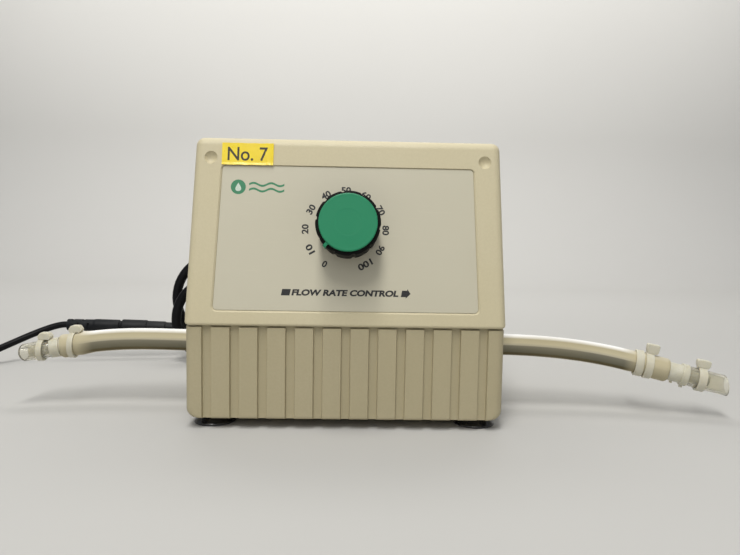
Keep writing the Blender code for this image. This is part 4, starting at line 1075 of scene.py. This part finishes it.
def panel_film():
    levels = (
        (FILM_LOW, FILM_MARGIN),
        (FILM_TOP - FILM_EDGE, FILM_MARGIN),
        (FILM_TOP, FILM_MARGIN - FILM_EDGE),
    )
    film_piece = solid("panel_film", recess_solid(levels))
    cut(film_piece, placed(cylinder(FILM_HOLE_RADIUS, -5 * MM, 5 * MM, 48), PANEL))
    dress(film_piece, "film", "fascia_label", 30, weighted=True)


def printed(name, shapes, look):
    made = solid(name, placed(merged(shapes), PANEL))
    dress(made, look, smooth=30)


def dial():
    """Numbers round the knob with their tops outward."""
    shapes = []
    for i in range(11):
        angle = math.radians(-(DIAL_FIRST + DIAL_STEP * i))
        x = DIAL_CENTRE[0] + DIAL_RADIUS * math.sin(-angle)
        rise = DIAL_CENTRE[1] + DIAL_RADIUS * math.cos(angle)
        digits = str(10 * i)
        width = DIGIT_WIDTH * len(digits) - DIGIT_GAP
        number = fitted(lettering(digits, DIGIT_SIZE, DIGIT_WEIGHT), width, DIGIT_HEIGHT)
        place = panel_point(x, rise, INK_MIDDLE) @ Matrix.Rotation(angle, 4, "Z")
        shapes.append(placed(number, place))
    printed("dial_numerals", shapes, "ink")


def caption():
    """A bold leaning line of words between a bar and a block arrow."""
    half = INK_THICKNESS / 2
    tall = CAPTION_HEIGHT / 2
    words = lettering("FLOW RATE CONTROL", CAPTION_HEIGHT, CAPTION_WEIGHT)
    words = fitted(words, CAPTION_WIDTH, CAPTION_HEIGHT, CAPTION_LEAN)
    bar = [(-2.2 * MM, -tall), (2.2 * MM, -tall), (2.2 * MM, tall), (-2.2 * MM, tall)]
    arrow = [(-2.4 * MM, -tall), (0.2 * MM, -tall), (0.2 * MM, -1.5 * tall), (2.3 * MM, 0),
             (0.2 * MM, 1.5 * tall), (0.2 * MM, tall), (-2.4 * MM, tall)]
    shapes = [placed(words, panel_point(-0.5 * MM, CAPTION_RISE, INK_MIDDLE))]
    for outline, x in ((bar, -31.2 * MM), (arrow, 30.8 * MM)):
        leaning = [(u + CAPTION_LEAN * v, v) for u, v in outline]
        shapes.append(placed(prism(leaning, -half, half), panel_point(x, CAPTION_RISE, INK_MIDDLE)))
    printed("panel_caption", shapes, "ink")


def droplet(size):
    """A drop's outline, its tip up."""
    points = []
    for i in range(28):
        t = 2 * math.pi * i / 28
        points.append((size * math.sin(t) * math.sin(t / 2) ** 1.5 * 0.95, size * math.cos(t)))
    return points


def badge():
    """A plain round badge with a drop, and two wave lines beside it."""
    half = INK_THICKNESS / 2
    place = panel_point(*BADGE_PLACE, INK_MIDDLE)
    shapes = [placed(cylinder(BADGE_RADIUS, -half, half, 64), place)]
    for row in (-1, 1):
        line = []
        for i in range(41):
            share = i / 40
            rise = row * WAVE_PLACE + WAVE_SWING * math.sin(4 * math.pi * share)
            line.append((blend(*WAVE_REACH, share), rise))
        outline = [(x, y + WAVE_HALF_WIDTH) for x, y in line]
        outline += [(x, y - WAVE_HALF_WIDTH) for x, y in reversed(line)]
        shapes.append(placed(prism(outline, -half, half), place))
    printed("panel_badge", shapes, "badge")
    drop = prism(droplet(2.3 * MM), half, INK_THICKNESS)
    printed("badge_drop", [placed(drop, place)], "badge_mark")


def tape_label():
    """A strip of tape over the recess's top edge, creased and lifting towards its right end."""
    centre = PANEL.inverted() @ middle_of("asset_label")
    width, depth = TAPE_SIZE
    columns, rows = 54, 24

    def height(u, v):
        ripple = 0.05 * math.sin(9 * u + 2.5 * v) * math.sin(3.2 * v + 1.0)
        crease = 0.16 * math.exp(-((u - 0.90 + 0.10 * v) / 0.018) ** 2) * smooth_step((u - 0.8) / 0.1)
        lifted = 0.35 * smooth_step((u - 0.93) / 0.07) * (0.4 + 0.6 * v)
        curl = 0.25 * smooth_step((0.12 - v) / 0.12)
        return (ripple + crease + lifted + curl + 0.12) * MM

    bm = bmesh.new()
    layers = []
    for offset in (0.0, TAPE_THICKNESS):
        grid = []
        for j in range(rows + 1):
            row = []
            for i in range(columns + 1):
                u, v = i / columns, j / rows
                wobble = 0.06 * MM * math.sin(23 * u)
                point = (
                    centre.x + (u - 0.5) * width,
                    centre.y + (v - 0.5) * depth + wobble,
                    height(u, v) + offset,
                )
                row.append(bm.verts.new(point))
            grid.append(row)
        layers.append(grid)
    for layer in layers:
        for j in range(rows):
            for i in range(columns):
                bm.faces.new((layer[j][i], layer[j][i + 1], layer[j + 1][i + 1], layer[j + 1][i]))
    bottom, top = layers

    def border(grid):
        return (grid[0][:-1] + [row[-1] for row in grid[:-1]] + grid[-1][:0:-1]
                + [row[0] for row in grid[:0:-1]])

    bridge(bm, border(bottom), border(top))
    tape = solid("tape_label", placed(bm, PANEL))
    dress(tape, "tape", "asset_label", 40)
    words = lettering("No. 7", TAPE_TEXT_SIZE, TAPE_TEXT_WEIGHT)
    words = fitted(words, TAPE_TEXT_WIDTH, TAPE_TEXT_HEIGHT)
    for vert in words.verts:
        u = vert.co.x / width + 0.5
        v = vert.co.y / depth + 0.5
        vert.co.z += height(u, v) + TAPE_THICKNESS + INK_THICKNESS / 2 - 0.005 * MM
        vert.co.x += centre.x
        vert.co.y += centre.y
    lettering_piece = solid("tape_lettering", placed(words, PANEL))
    dress(lettering_piece, "tape_ink", smooth=30)


# ---------------------------------------------------------------- knob


def fluted(radius, height, depth):
    """A circle with narrow rounded flutes between broad lobes."""
    points = []
    for i in range(KNOB_SEGMENTS):
        angle = 2 * math.pi * i / KNOB_SEGMENTS
        phase = (FLUTE_COUNT * (angle + POINTER_ANGLE - math.radians(90)) / (2 * math.pi)) % 1.0
        dip = smooth_step((0.12 - abs(phase - 0.5)) / 0.05)
        reach = radius - depth * dip
        points.append((reach * math.cos(angle), reach * math.sin(angle), height))
    return points


def knob():
    """A fluted grip, hollow below, under a flat cap with a pointer that reaches down its side."""
    inside = ((0, 17.3), (5.3, 17.3), (5.3, 6), (9.5, 6), (9.5, 1.2))
    side = (
        (15.2, 1.2), (15.45, 1.35), (15.55, 1.7), (15.75, 6), (16.0, 12), (16.2, 17.9), (16.17, 18.2),
        (16.05, 18.45),
    )
    rings = [circle(r * MM, h * MM, KNOB_SEGMENTS) for r, h in inside]
    rings += [fluted(r * MM, h * MM, FLUTE_DEPTH) for r, h in side]
    rings.append(fluted(15.85 * MM, 18.6 * MM, FLUTE_DEPTH * 0.8))
    rings += [circle(r * MM, h * MM, KNOB_SEGMENTS) for r, h in ((14.2, 18.6), (0, 18.6))]
    grip = solid("knob_grip", placed(loft(rings), PANEL))
    dress(grip, "knob", "knob_body", 38, body="knob")

    profile = [
        (0, 18.9), (14.3, 18.9), (14.5, 19.1), (14.5, 20.05), (14.38, 20.34), (14.1, 20.47), (13.7, 20.5),
        (12.8, 20.46), (9.2, 20.44), (6.9, 20.44), (6.4, 20.41), (5.9, 20.40), (3.0, 20.38), (0, 20.38),
    ]
    cap = solid("knob_face", turned(profile, 0.12, 128))
    tab = [
        (12.6, 18.95), (16.25, 18.95), (16.35, 14.4), (16.6, 14.1), (16.9, 14.2), (16.9, 19.0),
        (16.4, 19.7), (14.0, 20.1), (12.6, 20.1),
    ]
    outline = soften(millimetres(tab), 0.2 * MM, closed=True)
    pointer = placed(prism(outline, -0.8 * MM, 0.8 * MM), rotated(90, "X"))
    join(cap, placed(pointer, Matrix.Rotation(math.radians(90) - POINTER_ANGLE, 4, "Z")))
    cap.matrix_world = PANEL
    dress(cap, "cap", "knob_cap", 30, weighted=True, body="knob")


# ---------------------------------------------------------------- tubing


def tube_stations():
    """The tube's path from its left end to its right, as (point, squeeze from 0 to 1)."""
    plane = ROTOR_PLACE.y
    level = ROTOR_PLACE.z - ENTRY_BEND_RADIUS
    bend_x = ARCH_RADIUS + ENTRY_BEND_RADIUS
    left_wall = Vector((-WALL_PLACE, plane, level))
    stations = [(LEFT_END - LEFT_WAY * step * MM, 0) for step in range(LEFT_STRAIGHT + 1)]
    start = stations[-1][0]
    pull = (left_wall - start).length
    run = hermite(start, -LEFT_WAY * pull, left_wall, Vector((pull, 0, 0)), 28)
    stations += [(point, 0) for point in run]
    bend = []
    for i in range(19):
        angle = math.radians(5 * i)
        x = -bend_x + ENTRY_BEND_RADIUS * math.sin(angle)
        z = ROTOR_PLACE.z - ENTRY_BEND_RADIUS * math.cos(angle)
        squeeze = smooth_step((angle - math.radians(35)) / math.radians(50))
        bend.append((Vector((x, plane, z)), squeeze))
    arch = []
    for i in range(1, 36):
        angle = math.pi * (1 - i / 36)
        x = ARCH_RADIUS * math.cos(angle)
        arch.append((Vector((x, plane, ROTOR_PLACE.z + ARCH_RADIUS * math.sin(angle))), 1))
    mirrored = [(Vector((-p.x, p.y, p.z)), squeeze) for p, squeeze in reversed(bend)]
    right_wall = Vector((WALL_PLACE, plane, level))
    last = RIGHT_END - RIGHT_WAY * RIGHT_STRAIGHT * MM
    pull = (last - right_wall).length
    run = hermite(right_wall, Vector((pull, 0, 0)), last, RIGHT_WAY * pull, 28)
    stations += bend + arch + mirrored + [(right_wall, 0)] + [(point, 0) for point in run]
    steps = reversed(range(RIGHT_STRAIGHT))
    return stations + [(RIGHT_END - RIGHT_WAY * step * MM, 0) for step in steps]


def end_swell(distance, waist):
    """How far the tube stands out over the barb inside its end, with a waist under each tie."""
    swell = 0.55 * smooth_step((18 - distance) / 7) * smooth_step((distance + 3) / 4)
    swell -= sum(0.55 * math.exp(-((distance - place) / 2.3) ** 2) for place in waist)
    swell -= 0.5 * smooth_step((0.8 - distance) / 0.8)
    return swell * MM


def tube_rings(stations, inset):
    """The tube's sections at its stations, pulled in from its skin by an inset."""
    across_way = Vector((0, 1, 0))
    ways = tangents([point for point, _ in stations])
    segments = 40
    rings = []
    for (point, squeeze), way in zip(stations, ways):
        across = (across_way - way * across_way.dot(way)).normalized()
        normal = across.cross(way)
        half = blend(TUBE_RADIUS, SQUEEZED_HALF_THICKNESS, squeeze) - inset
        flat = blend(0, SQUEEZED_HALF_WIDTH - SQUEEZED_HALF_THICKNESS, squeeze)
        if not inset:
            half += end_swell((point - LEFT_END).length / MM, (6.3,))
            half += end_swell((point - RIGHT_END).length / MM, (10.9, 16.2))
        ring = []
        for i in range(segments):
            angle = 2 * math.pi * i / segments
            along = half * math.sin(angle)
            if i % (segments // 2):
                along += math.copysign(flat, along)
            ring.append(point + normal * half * math.cos(angle) + across * along)
        rings.append(ring)
    return rings


def pump_tube():
    stations = tube_stations()
    outer = tube_rings(stations, 0)
    inner = tube_rings(stations, TUBE_WALL)
    tube = solid("flexible_tube", loft(outer + inner[::-1], loop=True))
    dress(tube, "tube", "pump_tube", 50)


def tie_head(length, width, height, crown, shoulder):
    """A ratchet head, ten-sided from the side, that stands on the strap's outer face."""
    side = ((0.40, 0.0), (0.5, shoulder * 0.6), (0.5, shoulder), (crown + 0.08, 0.9), (crown, 1.0))
    half = [(u * length * MM, v * height * MM) for u, v in side]
    outline = half + [(-u, v) for u, v in reversed(half)]
    head = prism(outline, -width / 2 * MM, width / 2 * MM)
    return bevelled(head, head.edges[:], 0.35 * MM, 2)


def cable_tie(node, place, way, tube_radius, strap, turn, shift, lean, head):
    """A strap round a tube, leaning a little, with its head turned and shifted along the tube."""
    inner = tube_radius / MM + 0.05
    outer = inner + STRAP_THICKNESS
    low = outer - HEAD_SINK
    band = [(inner, -strap / 2), (outer, -strap / 2), (outer, strap / 2), (inner, strap / 2)]
    tie = solid(f"{node}_strap", turned(band, 0.35, 64))
    # The head's outline goes along the tube with its first axis, and away from it with its second.
    stand = Matrix(((0, 0, 1, 0), (0, 1, 0, low * MM), (-1, 0, 0, shift * MM), (0, 0, 0, 1)))
    turned_about = rotated(turn, "Z")
    join(tie, placed(tie_head(*head), turned_about @ stand))
    # With the head on top of the tube, the strap's slot opens towards the back of the pump.
    slot_side = math.copysign(head[1] / 2, way.x)
    slot = block(
        ((slot_side - 1.0) * MM, (low + 2.0) * MM, (shift - 1.7) * MM),
        ((slot_side + 1.0) * MM, (low + 3.2) * MM, (shift + 1.7) * MM),
    )
    cut(tie, placed(slot, turned_about))
    tie.matrix_world = aimed(place, way) @ rotated(lean[0], "X") @ rotated(lean[1], "Y")
    dress(tie, "tie", node, 30, weighted=True)


def coupler(node, origin, way, neck, flange, next_start, next_bore, pegs=()):
    """A hollow barbed fitting: one spigot in the pump tube, a neck and flange, one in the end tube."""
    first = TUBE_RADIUS / MM - TUBE_WALL / MM - 0.1
    second = next_bore - 0.1
    flange_low, flange_high, flange_radius = flange
    bore = FITTING_BORE / MM
    profile = [
        (bore, -13), (first - 0.9, -13), (first, -10.2), (first - 0.5, -10), (first - 0.5, -6),
        (first, -5.4), (first - 0.5, -5), (first - 0.5, 0.3), (neck, 0.4), (neck, flange_low),
        (flange_radius, flange_low), (flange_radius, flange_high), (second - 0.4, flange_high),
        (second - 0.4, next_start + 5),
        (second, next_start + 6), (second - 0.8, next_start + 11), (bore - 0.1, next_start + 11),
    ]
    made = solid(f"{node}_fitting", turned(profile, 0.3, 64))
    for place, radius, reach in pegs:
        low = Vector((-radius, -reach, place - radius)) * MM
        peg = block(low, Vector((radius, -3.2, place + radius)) * MM)
        join(made, bevelled(peg, peg.edges[:], 0.25 * MM, 2))
    made.matrix_world = aimed(origin, way)
    dress(made, "coupler", node, 35)


def end_tube(node, origin, way, start, end, radius, slant, side):
    """The short clear tube after a coupler, cut a little off square."""
    outer = radius / MM
    inner = outer - END_TUBE_WALL / MM
    steps = 14
    outline = [(outer - 0.25, start, 0.0)]
    for i in range(1, steps):
        share = i / steps
        place = blend(start, end, share)
        outline.append((outer + 0.25 * math.exp(-((place - start - 7.5) / 3.0) ** 2), place, share))
    outline += [(outer, end - 0.2, 1.0), (outer - 0.15, end, 1.0), (inner + 0.1, end, 1.0)]
    outline += [(inner, end - 0.3, 1.0), (inner, blend(start, end, 0.5), 0.5), (inner, start, 0.0)]
    made = []
    for reach, place, share in outline:
        rise, turn = slant * share**4 / outer, side * share**4 / outer
        ring = circle(reach, 0, 64)
        made.append([(x * MM, y * MM, (place + rise * y + turn * x) * MM) for x, y, _ in ring])
    tube = solid(f"{node}_clear", loft(made, loop=True))
    tube.matrix_world = aimed(origin, way)
    dress(tube, "end_tube", node, 40)


def tube_fittings():
    left_bore = (LEFT_END_RADIUS - END_TUBE_WALL) / MM
    right_bore = (RIGHT_END_RADIUS - END_TUBE_WALL) / MM
    coupler("left_coupler", LEFT_END, LEFT_WAY, 5.0, (0.9, 6.0, 5.7), 6.3, left_bore)
    coupler("right_coupler", RIGHT_END, RIGHT_WAY, 5.4, (7.4, 10.9, 6.4), 11.2, right_bore,
            ((3.4, 0.8, 6.6), (9.1, 0.9, 7.6)))
    left_reach, right_reach = LEFT_REACH / MM - 0.6, RIGHT_REACH / MM
    end_tube("left_end_tube", LEFT_END, LEFT_WAY, 6.3, left_reach, LEFT_END_RADIUS, 0.3, 2.1)
    end_tube("right_end_tube", RIGHT_END, RIGHT_WAY, 11.2, right_reach, RIGHT_END_RADIUS, -1.5, -0.5)
    for node, along, radius, shift in (
        ("left_tie_inner", -6.3, TUBE_RADIUS, -1.5),
        ("left_tie_outer", 10.8, LEFT_END_RADIUS, -1.9),
    ):
        place = LEFT_END + LEFT_WAY * along * MM
        cable_tie(node, place, LEFT_WAY, radius, SLIM_TIE, 0, shift, (-9, -6), PEAKED_HEAD)
    for node, along, radius, turn, shift, tilt, head in (
        ("right_tie_inner", -16.2, TUBE_RADIUS, -90, -2.2, -5, SQUARE_HEAD),
        ("right_tie_middle", -10.9, TUBE_RADIUS, 0, 1.0, -3, TALL_HEAD),
        ("right_tie_outer", 18.0, RIGHT_END_RADIUS, 0, 0, -3, SQUARE_HEAD),
    ):
        place = RIGHT_END + RIGHT_WAY * along * MM
        cable_tie(node, place, RIGHT_WAY, radius, WIDE_TIE, turn, shift, (tilt, 0), head)


# ---------------------------------------------------------------- cords


def coil_point(share):
    """A loose two-turn coil standing behind the case's left side, sinking as it comes forward."""
    angle = math.radians(-90 + 720 * share)
    radius = blend(30, 25, share)
    x = blend(-112.4, -108.4, share) + radius * math.cos(angle)
    y = blend(118, 84, share)
    z = blend(54.75, 24.75, share) + radius * math.sin(angle)
    return Vector((x, y, z)) * MM


def power_cord():
    """From inside the jack, round the coil, through the grip and along the back wall."""
    way = (JACK_END - PLUG_END).normalized()
    out = JACK_END + way * 1.5 * MM
    path = [JACK_END - way * 9 * MM, out]
    steps = 96
    coil = [coil_point(i / steps) for i in range(steps + 1)]
    path += hermite(out, way * 28 * MM, coil[0], (coil[1] - coil[0]).normalized() * 28 * MM, 14)
    path += coil[1:]
    leaving = (coil[-1] - coil[-2]).normalized() * 85 * MM
    behind_grip = Vector((GRIP_X, 94 * MM, GRIP_HEIGHT))
    path += hermite(coil[-1], leaving, behind_grip, Vector((0, -70, 0)) * MM, 30)
    inside_grip = Vector((GRIP_X, 61 * MM, GRIP_HEIGHT))
    path.append(inside_grip)
    turn_end = Vector((GRIP_X + 13 * MM, 50 * MM, 17 * MM))
    path += hermite(inside_grip, Vector((0, -18, 0)) * MM, turn_end, Vector((20, 0, -2)) * MM, 12)
    path.append(Vector((58.5, 43.5, 14.5)) * MM)
    cord = solid("cord_jacket", sweep(path, CORD_RADIUS, 28))
    dress(cord, "cord", "power_cord", 50)


def supply_lead():
    way = (JACK_END - PLUG_END).normalized()
    outside = PLUG_END - way * 1.5 * MM
    end = Vector((-266, 66, 4.5)) * MM
    path = [PLUG_END + way * 11 * MM, outside]
    path += hermite(outside, -way * 34 * MM, end, Vector((-18, -46, -8)) * MM, 40)
    lead = solid("lead_jacket", sweep(path, LEAD_RADIUS, 24))
    dress(lead, "cord", "supply_lead", 50)


def relief_notches(start, pitch, count, width, radius):
    """Rectangular windows through a strain relief's top and bottom, every other one to the sides."""
    cutters = []
    for i in range(count):
        middle = start + pitch * i
        turn = rotated(90 * (i % 2), "Z")
        for side in (-1, 1):
            window = block(
                (-2.4 * MM, min(side * 3.3, side * radius) * MM, (middle - width / 2) * MM),
                (2.4 * MM, max(side * 3.3, side * radius) * MM, (middle + width / 2) * MM),
            )
            cutters.append(placed(window, turn))
    return merged(cutters)


def turned_between(profile, radius):
    """A turned solid from a profile that touches the axis at two places in its middle."""
    first = next(i for i, (r, _) in enumerate(profile) if r == 0)
    points = profile[first + 1:] + profile[:first + 1]
    return turned(points, radius, 56)


def inline_connectors():
    way = (JACK_END - PLUG_END).normalized()
    total = (JACK_END - PLUG_END).length / MM
    shell = PLUG_LENGTH / MM
    lead_bore = LEAD_RADIUS / MM + 0.3
    cord_bore = CORD_RADIUS / MM + 0.1
    profile = [
        (lead_bore, 0), (4.5, 0), (4.8, 19.2), (4.8, 19.4), (5.2, 21.2), (5.2, 38.6), (4.3, 39.6),
        (4.3, shell), (2.6, shell), (2.6, 49), (0, 49), (0, 12), (lead_bore, 12),
    ]
    plug = solid("plug_shell", turned_between(profile, 0.45))
    cut(plug, relief_notches(4.4, 3.9, 4, 1.9, 6.0))
    plug.matrix_world = aimed(PLUG_END, way)
    dress(plug, "connector", "inline_plug", 32)
    socket_end = total - shell - 0.3
    profile = [
        (cord_bore, 0), (4.2, 0), (4.6, 7.4), (4.9, 8.2), (5.15, 8.4), (5.15, 22), (5.25, 22.2),
        (5.7, 22.6), (5.7, socket_end - 0.8), (5.3, socket_end), (2.9, socket_end), (2.9, socket_end - 9),
        (0, socket_end - 9), (0, 9.5), (cord_bore, 9.5),
    ]
    jack = solid("jack_shell", turned_between(profile, 0.35))
    jack.matrix_world = aimed(JACK_END, -way)
    dress(jack, "connector", "inline_jack", 32)


def cord_grip():
    """A ribbed boot that is clipped into the back wall."""
    bore = CORD_RADIUS / MM + 0.1
    profile = [
        (bore, 62), (7.6, 62), (7.6, 64.7), (6.2, 64.7), (6.2, 67.8), (8.5, 67.8), (8.5, 70.0), (6.2, 71.0),
    ]
    for i in range(5):
        start = 72.2 + 3.3 * i
        reach = 6.0 - 0.25 * i
        groove = reach - 1.0
        profile += [(reach, start), (reach - 0.1, start + 1.9)]
        profile += [(groove, start + 2.2), (groove, start + 3.0)]
    profile += [(4.6, 89.0), (bore, 89.0)]
    grip = solid("grip_boot", turned(profile, 0.3, 48))
    grip.matrix_world = Matrix.Translation((GRIP_X, 0, GRIP_HEIGHT)) @ rotated(-90, "X")
    dress(grip, "feet", "cord_grip")


# ---------------------------------------------------------------- stage


def softbox(name, place, target, size, watts):
    lamp = bpy.data.lights.new(name, "AREA")
    lamp.shape = "RECTANGLE"
    lamp.size, lamp.size_y = size
    lamp.energy = watts
    lamp.color = (1.0, 0.985, 0.95)
    holder = bpy.data.objects.new(name, lamp)
    holder.location = place
    way = Vector(target) - Vector(place)
    holder.rotation_euler = way.to_track_quat("-Z", "Y").to_euler()
    bpy.context.scene.collection.objects.link(holder)


def studio():
    """A pale floor that rises into a backdrop, lit by four softboxes and a dim sky."""
    floor_level = CAD_BOX[0].z
    profile = [(-FLOOR_REACH, 0), (BACKDROP_PLACE, 0)]
    for i in range(1, 17):
        angle = math.radians(90 * i / 16)
        y = BACKDROP_PLACE + BACKDROP_BEND * math.sin(angle)
        profile.append((y, BACKDROP_BEND * (1 - math.cos(angle))))
    profile.append((BACKDROP_PLACE + BACKDROP_BEND, BACKDROP_TOP))
    bm = bmesh.new()
    rows = [
        [bm.verts.new((x, y, floor_level + z)) for x in (-FLOOR_REACH, FLOOR_REACH)] for y, z in profile
    ]
    for first, second in zip(rows, rows[1:]):
        bm.faces.new((first[0], first[1], second[1], second[0]))
    floor = solid("studio_floor", bm)
    floor.data.shade_smooth()
    look = Look("studio paper", 0.75)
    look.colour(look.mixed(look.noise(3, 3), (0.50, 0.495, 0.48), (0.48, 0.475, 0.46)))
    look.grain(400, 3, 0.02, 0.3)
    floor.data.materials.append(look.made)
    for values in SOFTBOXES:
        softbox(*values)
    world = bpy.data.worlds.new("studio")
    bpy.context.scene.world = world
    world.use_nodes = True
    background = world.node_tree.nodes["Background"]
    background.inputs["Color"].default_value = (0.95, 0.97, 1.0, 1.0)
    background.inputs["Strength"].default_value = 0.30


def camera():
    forward = Vector((
        math.sin(CAMERA_YAW) * math.cos(CAMERA_PITCH),
        math.cos(CAMERA_YAW) * math.cos(CAMERA_PITCH),
        math.sin(CAMERA_PITCH),
    ))
    right = Vector((math.cos(CAMERA_YAW), -math.sin(CAMERA_YAW), 0))
    up = right.cross(forward)
    rolled_right = right * math.cos(CAMERA_ROLL) + up * math.sin(CAMERA_ROLL)
    rolled_up = up * math.cos(CAMERA_ROLL) - right * math.sin(CAMERA_ROLL)
    data = bpy.data.cameras.new("camera")
    data.lens = CAMERA_LENS
    data.sensor_width = 36
    holder = bpy.data.objects.new("camera", data)
    bpy.context.scene.collection.objects.link(holder)
    turn = Matrix((rolled_right, rolled_up, -forward)).transposed().to_4x4()
    holder.matrix_world = Matrix.Translation(CAMERA_PLACE) @ turn
    bpy.context.scene.camera = holder
    bpy.context.scene.view_settings.view_transform = "Standard"


def build():
    kept_nodes()
    top_cover()
    base_tray()
    feet()
    screws()
    panel_film()
    dial()
    caption()
    badge()
    tape_label()
    knob()
    pump_tube()
    tube_fittings()
    power_cord()
    supply_lead()
    inline_connectors()
    cord_grip()
    studio()
    camera()


build()
bpy.context.view_layer.update()
